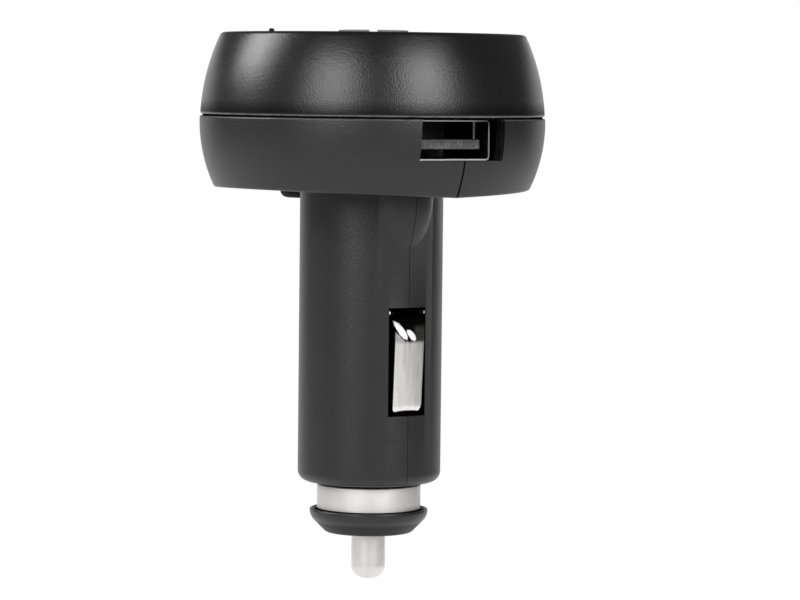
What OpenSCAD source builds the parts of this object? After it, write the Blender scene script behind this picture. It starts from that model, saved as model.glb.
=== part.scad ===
// Plug-in charger for a 12 volt accessory socket. A wide round head carries a USB socket
// in its rim, and the barrel under it carries two sprung side contacts and a sprung
// centre pin with its fuse. Sizes are in millimetres.
//
// The barrel's axis is Z. The origin is on that axis, at the shoulder where the head's
// underside meets the barrel. The barrel points down, the USB socket faces -Y, and the
// two housing halves meet in the plane x = 0.

/* [Head] */
// Largest radius of the head, on the lower shell
head_r = 25.4; // [24:0.1:30]
// Height of the lower shell's widest ring above the shoulder
head_belt_z = 10.5; // [9.5:0.1:11]
// Radius of the arc that forms the lower shell's side
lower_bow_r = 22.5; // [17:0.5:26]
// Height of the seam between the lower shell and the cover
seam_z = 11.2; // [11.1:0.1:12.2]
// How much smaller the cover is than the lower shell at the seam
cover_inset = 0.05; // [0:0.05:0.8]
// Radius of the arc that forms the cover's side
cover_bow_r = 31.5; // [26:0.5:36]
// Height of the cover's widest ring above the shoulder
cover_bow_z = 9.9; // [9:0.1:11]
// Height of the head's flat top above the shoulder
head_top_z = 23.4; // [22.5:0.1:28]
// Radius of the rounded edge round the flat top
cover_edge_r = 0.8; // [0.3:0.1:2]
// Wall of the head's sides
head_wall = 2; // [1.6:0.1:2.4]
// Thickness of the head's floor
floor_wall = 2; // [1.6:0.1:2.6]
// Thickness of the head's flat top
top_wall = 2; // [1.4:0.1:2.6]
// Slope of the underside, falling to the parting plane
draft_deg = 2.1; // [0.5:0.1:4]
// Height of the shadow line at the seam
seam_line = 0.2; // [0.1:0.05:0.5]
// Depth of the shadow line at the seam
seam_line_depth = 0.8; // [0.4:0.1:1.2]
// Length of the cover's lip inside the lower shell
lip_len = 1.9; // [1:0.1:2.5]
// Thickness of the cover's lip
lip_t = 1; // [0.8:0.1:1.2]

/* [Barrel] */
// Radius of the barrel
barrel_r = 10.55; // [10.3:0.05:11]
// Length of the barrel below the shoulder
barrel_len = 42.5; // [41:0.1:50]
// Wall of the barrel
barrel_wall = 1.6; // [1.3:0.1:1.8]
// Radius of the rounded edge at the barrel's end
barrel_edge_r = 1.6; // [0.5:0.1:1.6]
// Thickness of the lip that closes the barrel's end round the sleeve
end_lip = 1.6; // [1.2:0.1:2.4]
// Thickness of the two webs that end the fuse chamber
web_t = 2; // [1.4:0.1:2.4]
// Thickness of the web halfway down the fuse chamber
mid_web_t = 1.2; // [0.8:0.1:2]
// Width of the parting line between the two housing halves on the head
parting_line = 0.24; // [0.1:0.02:0.3]
// Depth of the parting line on the head
parting_depth = 0.3; // [0.1:0.05:0.6]
// Width of the parting line down the barrel
barrel_line = 0.08; // [0.04:0.02:0.2]
// Depth of the parting line down the barrel
barrel_line_depth = 0.1; // [0.05:0.05:0.3]
// Radius of the pegs that line up the housing halves
peg_r = 0.6; // [0.4:0.05:0.7]
// Length of the pegs
peg_len = 1.3; // [0.8:0.1:2]

/* [Gusset under the port] */
// Radius of the gusset at the shoulder
gusset_r = 5.2; // [4:0.1:6]
// How far the gusset stands proud of the barrel at the shoulder
gusset_proud = 1.8; // [1:0.1:3]
// Radius of the arc down the gusset's side
gusset_bow_r = 16.5; // [12:0.5:24]

/* [USB socket] */
// Width of the socket's shell
usb_w = 13.1; // [12.8:0.1:13.6]
// Height of the socket's shell
usb_h = 5.72; // [5.6:0.02:5.9]
// Depth of the socket's shell
usb_depth = 14; // [12:0.5:16]
// Sheet thickness of the shell
usb_sheet = 0.25; // [0.2:0.05:0.4]
// Radius of the shell's corners
usb_corner_r = 0.6; // [0.4:0.1:1]
// Height of the shell's underside, and of the sill of its opening
usb_z = 5.3; // [4.9:0.02:5.4]
// Distance of the shell's mouth inside the head's largest radius
mouth_inset = 4.5; // [4:0.1:6]
// Gap at each side between the shell and its opening
usb_side_gap = 0.45; // [0.2:0.05:1]
// Width of the tongue
tongue_w = 11.1; // [10.6:0.1:11.5]
// Thickness of the tongue
tongue_t = 1.4; // [1.3:0.1:2]
// Height of the tongue's underside above the shell's underside
tongue_lift = 1.56; // [0.8:0.02:1.7]
// Distance of the tongue's tip behind the shell's mouth
tongue_back = 0.8; // [0.5:0.1:1.5]
// Thickness of the moulded block behind the tongue
usb_block_t = 2.4; // [1.5:0.1:4]
// Width of each contact strip
strip_w = 1; // [0.7:0.1:1.2]
// Thickness of each contact strip
strip_t = 0.2; // [0.1:0.05:0.3]
// Distance of the inner two strips from the middle
strip_inner = 1; // [0.9:0.05:1.2]
// Distance of the outer two strips from the middle
strip_outer = 3.5; // [3.2:0.1:4]

/* [Circuit boards] */
// Gap between the main board's edge and the cover's lip
board_gap = 0.7; // [0.3:0.1:1.5]
// Distance of the board's front edge behind the USB socket's mouth
board_back = 3; // [1:0.5:4]
// Thickness of the main board
board_t = 1.6; // [1:0.1:2]
// Distance of the board's posts inside the board's edge
post_inset = 2.3; // [2.1:0.1:3]
// Turn of the board's posts from the X axis
post_turn = 50; // [44:1:56]
// Thickness of the ribs under the USB socket
rib_t = 1.2; // [0.8:0.1:1.6]
// Radius of the posts that carry the board
post_r = 1.9; // [1.4:0.1:2.2]
// Radius of the cover's posts that hold the board down
clamp_r = 1.5; // [1:0.1:2]
// Length of the display board
display_board_l = 24; // [20:0.5:26]
// Width of the display board
display_board_w = 16; // [14:0.5:18]
// Thickness of the display board
display_board_t = 1.2; // [0.8:0.1:1.6]
// Length of the display module
display_l = 15; // [12:0.5:17]
// Width of the display module
display_w = 9; // [7:0.5:11]
// Height of the display module
display_h = 3.6; // [2.5:0.1:4.4]
// Pitch of the header pins
pin_pitch = 2.54; // [2:0.01:2.54]
// Side of each square header pin
header_side = 0.64; // [0.5:0.02:0.8]
// Number of header pins in each row
header_count = 4; // [3:1:5]

/* [Top face] */
// Radius of the round window
window_r = 9; // [8.6:0.1:11]
// How far the window stands proud of the top
window_proud = 0.1; // [0.1:0.05:0.4]
// Width of the window's flange under the top
window_flange = 1.5; // [1:0.1:2.5]
// Thickness of the window's flange
window_flange_t = 1.2; // [0.8:0.1:2]
// Radius of the raised disc in the middle of the window
dial_r = 5.1; // [4:0.1:7]
// Height of the raised disc above the window
dial_h = 0.4; // [0.2:0.05:0.8]
// Width of the groove across the raised disc
groove_w = 1.2; // [0.5:0.1:2]
// Direction of the groove, clockwise from the socket's side seen from above
groove_deg = 32; // [0:1:90]
// Distance of the indicator lens inside the head's largest radius
lens_inset = 8.1; // [7.2:0.1:9]
// Radius of the indicator lens
lens_r = 0.4; // [0.3:0.05:1]
// How far the indicator lens stands proud of the top
lens_proud = 0.5; // [0.4:0.05:1]
// Width of the lens's collar under the top
lens_collar = 0.8; // [0.5:0.1:1.2]

/* [Cover screw and its plug] */
// Radius of the screw's thread
screw_r = 1.2; // [1:0.05:1.4]
// Length of the screw under its head
screw_len = 10; // [7:0.5:12]
// Radius of the screw's head
screw_head_r = 2.3; // [2:0.1:2.6]
// Height of the screw's head
screw_head_t = 1.5; // [1:0.1:1.8]
// Height of the screw head's seat above the shoulder
screw_seat_z = 4; // [3.6:0.1:4.6]
// Height of the lower shell's screw post above the shoulder
screw_post_z = 7; // [6:0.1:8]
// Wall of the screw post and of the cover's screw boss
screw_wall = 1.7; // [1.2:0.1:2]
// Flat land on each side of the plug, to the barrel and to the head's rim
plug_land = 1.1; // [0.8:0.1:2.6]
// Thickness of the plug below the shoulder
plug_t = 1.2; // [0.8:0.1:2]
// Radius of the plug's rounded edge
plug_edge_r = 1.1; // [0.2:0.1:1.2]
// Length of the plug's stem above the shoulder
plug_stem = 1.8; // [1:0.1:2]

/* [Side contacts] */
// Width of the slot for each side contact
slot_w = 6.3; // [6:0.1:7.4]
// Distance of the slot's top below the shoulder
slot_drop = 16.7; // [16.4:0.1:19]
// Distance of the slot's bottom above the barrel's end
slot_rise = 10.4; // [10:0.1:12]
// Width of each side contact
leaf_w = 4.9; // [4.4:0.1:5.4]
// Thickness of the contact's metal
leaf_t = 0.45; // [0.3:0.05:0.6]
// How far a side contact stands proud of the barrel
leaf_proud = 0.75; // [0.4:0.05:0.8]
// Distance of the contact's crest below the slot's top
crest_drop = 2.2; // [2:0.1:4]
// Radius of the bend at the crest
crest_bend_r = 2; // [1.5:0.5:4]
// Distance of the contact's metal inside the barrel's bore, where it passes the slot's top
ramp_in = 0.9; // [0.45:0.05:1.2]
// How far the contact draws in between its middle and its lower bend
leaf_lean = 0.5; // [0:0.05:0.8]
// Width of the contact across its ears
ear_w = 6.1; // [5.6:0.1:6.2]
// Height of the ears
ear_h = 0.6; // [0.4:0.1:1]
// Gap between the lower bend and the slot's bottom
leaf_end_gap = 0.5; // [0.4:0.1:1.5]
// Depth of the tail behind the barrel's wall
tail_in = 1.6; // [0.4:0.1:1.8]
// Length of the tail that catches behind the barrel's wall
tail_len = 2.3; // [1.2:0.1:3]
// Radius of the rolled end that the contact turns on
eye_r = 0.7; // [0.5:0.05:0.8]
// Length of the rolled end
eye_len = 6.6; // [6:0.1:8]
// Distance of the rolled end above the slot's top
eye_rise = 3.6; // [3.4:0.1:4.2]
// Distance of the rolled end inside the barrel's bore
eye_inset = 2.35; // [2.1:0.05:2.5]
// Thickness of the ring that joins the side contacts
ring_t = 0.4; // [0.3:0.1:0.8]

/* [Nose and centre pin] */
// How much smaller the metal sleeve is than the barrel, on the radius
sleeve_step = 2.9; // [2.4:0.1:3.4]
// Length of sleeve that shows between the barrel and the nose cap
sleeve_show = 3.7; // [2:0.1:5]
// Thickness of the sleeve's flange inside the barrel
sleeve_flange_t = 1.2; // [0.8:0.1:2]
// How much smaller the sleeve's neck is inside the nose cap, on the radius
neck_step = 1.3; // [1:0.1:1.8]
// How far the nose cap's rim flares out beyond the sleeve
nose_flare = 1.08; // [0.5:0.01:1.4]
// Height of the nose cap
nose_h = 3.9; // [3.4:0.1:4.6]
// Thickness of the nose cap's floor
nose_floor = 1.5; // [1:0.1:1.8]
// Width of the slope from the nose cap's rim to its flat end
nose_slope = 2.38; // [2:0.01:3.4]
// Height of the cone on top of the nose cap's rim
nose_lip_h = 0.45; // [0.2:0.05:0.9]
// Height of the nose cap's rim
nose_rim_h = 1; // [0.8:0.05:1.4]
// Radius of the centre pin
pin_r = 2.5; // [2:0.05:3]
// How far the pin stands out of the nose
pin_out = 6.9; // [5:0.1:9]
// Radius of the pin's rounded end
pin_end_r = 2; // [1.2:0.1:2]
// Radius of the pin's head inside the sleeve
pin_head_r = 4.1; // [3.9:0.05:4.3]
// Height of the pin's head, from the nose's floor to its rim
pin_head_h = 4.4; // [3.6:0.1:5]
// Depth of the cup in the pin's head
pin_cup = 2; // [1.2:0.1:2.6]
// How far the pin can be pushed in
pin_travel = 3; // [2:0.1:3.4]

/* [Fuse and spring] */
// Radius of the fuse's end caps
fuse_r = 3.175; // [2.8:0.005:3.2]
// Length of each end cap
fuse_cap_len = 6; // [4:0.1:8]
// Radius of the glass tube
fuse_glass_r = 2.95; // [2.6:0.05:3]
// Wall of the glass tube
fuse_glass_t = 0.7; // [0.4:0.1:1]
// Radius of the fuse wire
fuse_wire_r = 0.15; // [0.1:0.05:0.3]
// Length of the spring above the fuse
spring_len = 8.8; // [7.8:0.1:10]
// Radius to the middle of the spring's wire
spring_r = 2.3; // [1.8:0.1:2.5]
// Diameter of the spring's wire
spring_wire = 0.7; // [0.4:0.05:0.8]
// Number of coils in the spring
spring_turns = 6; // [4:0.5:6]
// Distance of the spring's terminal below the shoulder
terminal_drop = 5.6; // [5.2:0.1:6.4]
// Gap between the terminal's edge and the lead that passes it
terminal_gap = 1.1; // [0.4:0.1:2]
// Thickness of the terminal
terminal_t = 0.5; // [0.3:0.1:1]
// Radius of the two insulated leads
lead_r = 0.9; // [0.6:0.05:1]

/* [Components on the board] */
// Radius of the inductor's flanges
inductor_r = 4.6; // [3.5:0.1:4.8]
// Height of the inductor
inductor_h = 5.6; // [4:0.1:6.4]
// Radius of the inductor's centre post
inductor_post_r = 2.4; // [1.8:0.1:2.8]
// Thickness of the inductor's flanges
inductor_flange = 0.9; // [0.6:0.1:1.2]
// Diameter of the winding's wire
winding_wire = 0.6; // [0.4:0.05:0.8]
// Radius of the input capacitor
input_cap_r = 4; // [3.15:0.05:4.1]
// Height of the input capacitor
input_cap_h = 7; // [5:0.1:7.4]
// Radius of the output capacitor
output_cap_r = 3.15; // [2.5:0.05:3.4]
// Height of the output capacitor
output_cap_h = 6.8; // [5:0.1:7.4]
// Length of the controller chip's body
chip_l = 4.9; // [4:0.1:6]
// Width of the controller chip's body
chip_w = 3.9; // [3:0.1:4.4]
// Height of the controller chip
chip_h = 1.5; // [1:0.1:2]
// Distance between the chip's leads
chip_pitch = 1.27; // [1:0.01:1.27]
// Thickness of the chip's leads
chip_lead = 0.2; // [0.1:0.05:0.3]
// Gap between the USB socket's shell and the components beside it
parts_gap = 0.85; // [0.4:0.05:1.2]
// Distance of the row behind the USB socket from the middle of the board
back_row = 3.5; // [3:0.1:4]
// Side of the indicator's light
led_l = 1.6; // [1:0.1:2]
// Height of the indicator's light
led_h = 0.8; // [0.5:0.1:1.2]

/* [Clearances] */
// Gap between pieces that lie against each other
seat_gap = 0.05; // [0.02:0.01:0.1]
// Running gap of what turns or slides, on the radius
run_gap = 0.05; // [0.03:0.01:0.1]
// Gap round a piece that only passes through a hole
pass_gap = 0.3; // [0.15:0.05:0.4]

/* [Hidden] */
$fn = 96;
// Steps in the large arcs of an outline, and in its small rounded corners
BOW_STEPS = 20;
EDGE_STEPS = 6;
// A reach beyond the whole part, for cuts that run out of it
FAR = 2 * (head_r + barrel_len);
// A short overlap that joins two solids of one piece into one
JOIN = 0.4;

bore_r = barrel_r - barrel_wall;
lower_bow_at = head_r - lower_bow_r;
cover_bow_at = head_r - cover_inset - cover_bow_r;
board_z = usb_z + usb_h;
board_top = board_z + board_t;

hollow_r = lower_bow_at + lower_bow_r - head_wall - pass_gap / 2;
floor_r = lower_bow_at + sqrt(pow(lower_bow_r, 2) - pow(head_belt_z, 2));
usb_mouth = head_r - mouth_inset;
board_r = hollow_r - lip_t - board_gap;
post_ring = board_r - post_inset;
lens_at = head_r - lens_inset;
screw_at = (barrel_r + floor_r) / 2;
plug_r = (floor_r - barrel_r) / 2 - plug_land;
// Places of the components under the board, beside the USB socket
beside_usb = usb_w / 2 + parts_gap;
front_row = back_row - input_cap_r - output_cap_r - parts_gap;
chip_row = back_row - inductor_r - chip_w / 2 - 2 * chip_lead - parts_gap;

gusset_at = barrel_r + gusset_proud - gusset_r;

slot_end = barrel_len - slot_rise;
slot_len = slot_end - slot_drop;
eye_at = bore_r - eye_inset;
eye_z = -slot_drop + eye_rise;
eye_web_top = eye_z + eye_r;
eye_web_t = 2 * eye_r + 0.9;
leaf_mid_r = barrel_r + leaf_proud - leaf_t / 2;

sleeve_r = barrel_r - sleeve_step;
neck_r = sleeve_r - neck_step;
nose_r = sleeve_r + nose_flare;
nose_top = -barrel_len - sleeve_show;
nose_end = nose_top - nose_h;
pin_seat = nose_end + nose_floor;
flange_z = -barrel_len + end_lip;
low_web_z = flange_z + sleeve_flange_t + seat_gap;
fuse_z = pin_seat + pin_head_h - pin_cup;
terminal_z = -terminal_drop;
terminal_r = eye_at - lead_r - terminal_gap;
fuse_top = terminal_z - spring_len;
// The fuse fills the chamber under the spring: 31.8 mm, the common size, in this barrel
fuse_len = fuse_top - fuse_z;
top_web_z = terminal_z + terminal_t;
chamber_r = fuse_r + pass_gap;

display_top = head_top_z - top_wall - window_flange_t - pass_gap;
display_board_z = display_top - display_h - display_board_t;

// A point at a radius and an angle
function polar(r, a) = [r * cos(a), r * sin(a)];

// Points along an arc
function arc(c, r, a0, a1, steps) = [
    for (i = [0:steps]) c + polar(r, a0 + (a1 - a0) * i / steps)
];

function unit(v) = v / norm(v);

// The angle b, moved by whole turns to lie within half a turn of a
function near(a, b) = b - 360 * round((b - a) / 360);

// The arc that rounds the corner at b, between the sides to a and c
function corner(a, b, c, r) =
    let (u = unit(a - b), v = unit(c - b), half = acos(u * v) / 2)
    let (m = b + unit(u + v) * r / sin(half))
    let (p = b + u * r / tan(half) - m, q = b + v * r / tan(half) - m)
    let (a0 = atan2(p[1], p[0]))
    arc(m, r, a0, near(a0, atan2(q[1], q[0])), EDGE_STEPS);

// A closed outline with its corners rounded: each entry is [x, y, radius]
function rounded(pts) = [
    for (i = [0:len(pts) - 1])
        let (n = len(pts), p = pts[i], a = pts[(i + n - 1) % n], c = pts[(i + 1) % n])
        each p[2] == 0 ? [[p[0], p[1]]]
            : corner([a[0], a[1]], [p[0], p[1]], [c[0], c[1]], p[2])
];

// An open path with its inner corners rounded
function rounded_path(pts) = [
    for (i = [0:len(pts) - 1])
        let (p = pts[i])
        each (i == 0 || i == len(pts) - 1) ? [[p[0], p[1]]]
            : corner([pts[i - 1][0], pts[i - 1][1]], [p[0], p[1]],
                [pts[i + 1][0], pts[i + 1][1]], p[2])
];

// The direction square to a path at its point i
function square_to(path, i) =
    let (a = path[max(i - 1, 0)], b = path[min(i + 1, len(path) - 1)], d = unit(b - a))
    [-d[1], d[0]];

// A strip of one thickness along a path
function strip(path, t) = concat(
    [for (i = [0:len(path) - 1]) path[i] + square_to(path, i) * t / 2],
    [for (i = [len(path) - 1:-1:0]) path[i] - square_to(path, i) * t / 2]
);

// Half section of the lower shell's outside, drawn in by inset
function lower_side(inset) =
    let (r = lower_bow_r - inset, low = asin((-1 - head_belt_z) / r))
    let (high = asin((seam_z - head_belt_z) / r))
    concat([[0, -1]], arc([lower_bow_at, head_belt_z], r, low, high, BOW_STEPS), [[0, seam_z]]);

// Half section of the barrel's outside, drawn in by inset
function barrel_side(inset) =
    let (r = barrel_r - inset, z = -barrel_len + inset)
    rounded([[0, z, 0], [r, z, barrel_edge_r], [r, floor_wall / 2, 0], [0, floor_wall / 2, 0]]);

// Half section of the gusset's outside, drawn in by inset
function gusset_side(inset) =
    let (r = gusset_bow_r - inset, m = gusset_r - gusset_bow_r, low = -acos(-m / r))
    concat([[0, floor_wall / 2]], arc([m, 0], r, low, 0, BOW_STEPS),
        [[m + r, floor_wall / 2]]);

// Half section of the cover's outside, or of its hollow, drawn in by inset
function cover_side(inset, foot, top, edge_r) =
    let (c = [cover_bow_at, cover_bow_z], r = cover_bow_r - inset)
    let (x = c[0] + sqrt(pow(r - edge_r, 2) - pow(top - edge_r - c[1], 2)))
    let (turn = atan2(top - edge_r - c[1], x - c[0]))
    concat([[0, foot]], arc(c, r, asin((foot - c[1]) / r), turn, BOW_STEPS),
        arc([x, top - edge_r], edge_r, turn, 90, EDGE_STEPS), [[0, top]]);

module turned(profile) {
    rotate_extrude() polygon(profile);
}

// Everything above the sloping underside on the +X side, raised by lift
module above_underside(lift) {
    translate([0, 0, lift])
        rotate([0, -draft_deg, 0])
            translate([-FAR / 2, -FAR / 2, 0]) cube([FAR, FAR, FAR / 2]);
}

module right_half_space() {
    translate([0, -FAR / 2, -FAR]) cube([FAR, FAR, 2 * FAR]);
}

// A disc across the barrel's bore, from z up, with its edge in the barrel's wall
module web(z, t) {
    translate([0, 0, z]) cylinder(h = t, r = bore_r + JOIN);
}

// The outside of the right housing half
module half_outside() {
    intersection() {
        turned(lower_side(0));
        above_underside(0);
        right_half_space();
    }
    intersection() {
        union() {
            turned(barrel_side(0));
            translate([0, -gusset_at, 0]) turned(gusset_side(0));
        }
        right_half_space();
    }
}

// The hollow of the head and of the barrel
module half_hollow() {
    intersection() {
        rotate_extrude() {
            polygon(concat(
                [[0, 0]],
                arc([lower_bow_at, head_belt_z], lower_bow_r - head_wall,
                    asin(-head_belt_z / (lower_bow_r - head_wall)), 0, BOW_STEPS),
                [[lower_bow_at + lower_bow_r - head_wall, seam_z + 1], [0, seam_z + 1]]
            ));
        }
        above_underside(floor_wall);
    }
    translate([0, 0, flange_z]) cylinder(h = floor_wall + 3 - flange_z, r = bore_r);
}

// Posts, ribs and webs that one half carries inside
module half_inside() {
    intersection() {
        union() {
            for (side = [-1, 1])
                translate([each polar(post_ring, side * post_turn), 0])
                    cylinder(h = board_z, r = post_r);
            translate([0, screw_at, 0])
                cylinder(h = screw_post_z, r = screw_head_r + pass_gap + screw_wall);
            translate([usb_w / 2 - rib_t - usb_corner_r, -usb_mouth, 0])
                cube([rib_t, usb_mouth - barrel_r, usb_z]);
        }
        above_underside(floor_wall / 2);
        right_half_space();
    }
    intersection() {
        union() {
            web(low_web_z, web_t);
            web(-(slot_drop + slot_end) / 2 - mid_web_t / 2, mid_web_t);
            web(eye_web_top - eye_web_t, eye_web_t);
            web(top_web_z, web_t);
        }
        right_half_space();
    }
}

// Pocket for one side contact's rolled end, and the way out for its leaf
module eye_pocket() {
    translate([0, -eye_at, eye_z]) {
        rotate([0, 90, 0]) cylinder(h = eye_len + 2 * run_gap, r = eye_r + run_gap, center = true);
        translate([-eye_len / 2 - run_gap, -eye_r - run_gap, 0])
            cube([eye_len + 2 * run_gap, 2 * (eye_r + run_gap), eye_r + JOIN]);
    }
    translate([-leaf_w / 2 - pass_gap / 2, -bore_r, eye_z - eye_web_t])
        cube([leaf_w + pass_gap, bore_r - eye_at + eye_r + run_gap, eye_web_t + eye_r + JOIN]);
}

// Slot through the barrel's wall, and the room for the leaf behind it
module leaf_slot() {
    translate([-slot_w / 2, -barrel_r - 1, -slot_end])
        cube([slot_w, barrel_wall + 1 + 2 * leaf_t, slot_len]);
    translate([-leaf_w / 2 - pass_gap, -bore_r, -slot_end - tail_len])
        cube([leaf_w + 2 * pass_gap, bore_r - eye_at + eye_r, slot_len + tail_len + eye_rise]);
}

// Bores, slots and pockets cut into one half
module half_cuts() {
    translate([0, 0, -barrel_len - 1])
        cylinder(h = end_lip + 2, r = sleeve_r + seat_gap);
    translate([0, 0, low_web_z - 1])
        cylinder(h = eye_web_top - low_web_z + 2, r = chamber_r);
    translate([0, 0, top_web_z - 1]) cylinder(h = web_t + 2, r = lead_r + pass_gap);
    translate([0, eye_at, top_web_z - 1]) cylinder(h = web_t + 2, r = lead_r + pass_gap);
    for (turn = [0, 180]) rotate([0, 0, turn]) {
        leaf_slot();
        eye_pocket();
    }
    translate([0, screw_at, -1]) cylinder(h = screw_seat_z + 1, r = screw_head_r + pass_gap);
    translate([0, screw_at, 0]) cylinder(h = screw_post_z + 1, r = screw_r + run_gap);
    translate([-usb_w / 2 - usb_side_gap, -FAR, usb_z])
        cube([usb_w + 2 * usb_side_gap, FAR - usb_mouth + 1, FAR]);
}

// Section through the head on the parting plane, drawn in by inset
module head_section(inset) {
    for (side = [0, 1]) mirror([side, 0]) intersection() {
        polygon(lower_side(inset));
        translate([0, inset]) square([FAR, FAR]);
    }
}

// Section through the barrel and its gusset on the parting plane, drawn in by inset
module barrel_section(inset) {
    for (side = [0, 1]) mirror([side, 0]) polygon(barrel_side(inset));
    translate([-gusset_at, 0]) for (side = [0, 1]) mirror([side, 0]) polygon(gusset_side(inset));
}

// Half the width of the fine line where the two halves meet, cut into the surface
module parting_relief() {
    rotate([90, 0, 90]) linear_extrude(parting_line / 2) difference() {
        translate([-FAR, 0]) square([2 * FAR, seam_z]);
        head_section(parting_depth);
        barrel_section(parting_depth);
    }
    rotate([90, 0, 90]) linear_extrude(barrel_line / 2) difference() {
        translate([-FAR, -FAR]) square([2 * FAR, FAR + JOIN / 4]);
        barrel_section(barrel_line_depth);
    }
}

module pegs(gap) {
    for (at = [[-eye_at, top_web_z], [-eye_at, low_web_z], [eye_at, low_web_z]])
        translate([-JOIN, at[0], at[1] + web_t / 2])
            rotate([0, 90, 0]) cylinder(h = JOIN + peg_len + 2 * gap, r = peg_r + gap);
}

module half_housing() {
    difference() {
        union() {
            difference() {
                half_outside();
                half_hollow();
            }
            half_inside();
        }
        half_cuts();
        parting_relief();
    }
}

module right_housing() {
    color("#343436") difference() {
        half_housing();
        pegs(run_gap);
    }
}

module left_housing() {
    color("#343436") union() {
        mirror([1, 0, 0]) half_housing();
        pegs(0);
    }
}

// Where the cover meets the lower shell, and the lip that centres it there
module cover_foot() {
    turn_r = cover_bow_at + cover_bow_r - head_wall;
    rotate_extrude() translate([hollow_r - lip_t, seam_z - lip_len]) square([lip_t, lip_len + 1]);
    rotate_extrude() translate([turn_r - JOIN, seam_z])
        square([head_wall + JOIN - seam_line_depth, seam_line + JOIN]);
}

// The gap in the lip that clears the USB socket
module lip_gap() {
    half_w = usb_w / 2 + usb_side_gap + 0.4;
    translate([-half_w, -FAR, seam_z - lip_len - 1]) cube([2 * half_w, FAR - usb_mouth + 1, lip_len + 1]);
}

module top_cover() {
    foot = seam_z + seam_line;
    color("#2b2b2d") difference() {
        union() {
            difference() {
                turned(cover_side(0, foot, head_top_z, cover_edge_r));
                turned(cover_side(head_wall, foot - 1, head_top_z - top_wall, cover_edge_r));
            }
            cover_foot();
            translate([0, screw_at, screw_post_z + seat_gap])
                cylinder(h = head_top_z - top_wall - screw_post_z, r = screw_r + screw_wall);
            for (x = [-1, 1], y = [-1, 1])
                translate([x * post_ring * cos(post_turn), y * post_ring * sin(post_turn),
                        board_top + seat_gap])
                    cylinder(h = head_top_z - top_wall - board_top, r = clamp_r);
        }
        lip_gap();
        translate([0, screw_at, screw_post_z])
            cylinder(h = screw_len, r = screw_r + run_gap);
        translate([0, 0, head_top_z - top_wall - 1])
            cylinder(h = top_wall + 2, r = window_r + seat_gap);
        translate([-lens_at, 0, head_top_z - top_wall - 1])
            cylinder(h = top_wall + 2, r = lens_r + seat_gap);
    }
}

module display_window() {
    under_top = head_top_z - top_wall;
    face = head_top_z + window_proud;
    color("#6f7478") {
        turned(rounded([
            [0, under_top - JOIN, 0], [window_r, under_top - JOIN, 0],
            [window_r, face, window_proud / 2], [0, face, 0]
        ]));
        translate([0, 0, under_top - window_flange_t])
            cylinder(h = window_flange_t, r = window_r + window_flange);
        difference() {
            turned(rounded([
                [0, face - JOIN, 0], [dial_r, face - JOIN, 0],
                [dial_r, face + dial_h, dial_h / 4], [0, face + dial_h, 0]
            ]));
            rotate([0, 0, -groove_deg]) translate([-groove_w / 2, -FAR / 2, 0]) cube([groove_w, FAR, FAR]);
        }
    }
}

module indicator_lens() {
    under_top = head_top_z - top_wall;
    foot = board_top + led_h + 2 * seat_gap;
    tip = head_top_z + lens_proud;
    color("#3a3d40") translate([-lens_at, 0, 0]) turned(rounded([
        [0, foot, 0], [lens_r, foot, 0], [lens_r, under_top - lens_collar, 0],
        [lens_r + lens_collar, under_top - lens_collar, 0], [lens_r + lens_collar, under_top, 0],
        [lens_r, under_top, 0], [lens_r, tip, lens_r * 0.8], [0, tip, 0]
    ]));
}

module cover_screw() {
    head_z = screw_seat_z - screw_head_t;
    color("#8c8f93") translate([0, screw_at, 0]) difference() {
        turned(rounded([
            [0, head_z, 0], [screw_head_r, head_z, 0.6], [screw_head_r, screw_seat_z, 0],
            [screw_r, screw_seat_z, 0], [screw_r, screw_seat_z + screw_len - screw_r, 0],
            [0.3, screw_seat_z + screw_len, 0], [0, screw_seat_z + screw_len, 0]
        ]));
        for (turn = [0, 90]) rotate([0, 0, turn])
            translate([-1.2, -0.25, head_z - 1]) cube([2.4, 0.5, 1.8]);
    }
}

module underside_plug() {
    color("#202022") difference() {
        translate([0, screw_at, 0]) turned(rounded([
            [0, -plug_t, 0], [plug_r, -plug_t, plug_edge_r], [plug_r, 1, 0],
            [screw_head_r, 1, 0], [screw_head_r, plug_stem, 0], [0, plug_stem, 0]
        ]));
        difference() {
            for (side = [0, 1]) mirror([side, 0, 0]) intersection() {
                above_underside(0);
                translate([0, 0, -FAR / 2]) right_half_space();
            }
            translate([0, screw_at, -1]) cylinder(h = plug_stem + 2, r = screw_head_r);
        }
    }
}

module main_board() {
    color("#1f5a3c") difference() {
        translate([0, 0, board_z]) cylinder(h = board_t, r = board_r);
        translate([-FAR / 2, -FAR - usb_mouth + board_back, 0]) cube([FAR, FAR, FAR]);
        translate([0, screw_at, board_z - 1])
            cylinder(h = board_t + 2, r = screw_r + screw_wall + pass_gap);
    }
}

module display_board() {
    color("#1f5a3c") translate([-display_board_l / 2, -display_board_w / 2, display_board_z])
        cube([display_board_l, display_board_w, display_board_t]);
}

// The seven bars of one figure, as shallow recesses with a gap between their ends
module figure_bars(w, h, bar, gap) {
    for (y = [-1, 0, 1]) translate([0, y * (h - bar) / 2])
        square([w - 2 * bar - 2 * gap, bar], center = true);
    for (x = [-1, 1], y = [-1, 1]) translate([x * (w - bar) / 2, y * h / 4])
        square([bar, h / 2 - 2 * bar], center = true);
}

module display_module() {
    figure_pitch = display_l / 3;
    color("#101214") difference() {
        translate([-display_l / 2, -display_w / 2, display_top - display_h])
            cube([display_l, display_w, display_h]);
        for (i = [-1:1]) translate([i * figure_pitch, 0, display_top - 0.2]) linear_extrude(1)
            figure_bars(figure_pitch - 1.4, display_w - 2, 0.7, 0.15);
    }
}

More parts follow.
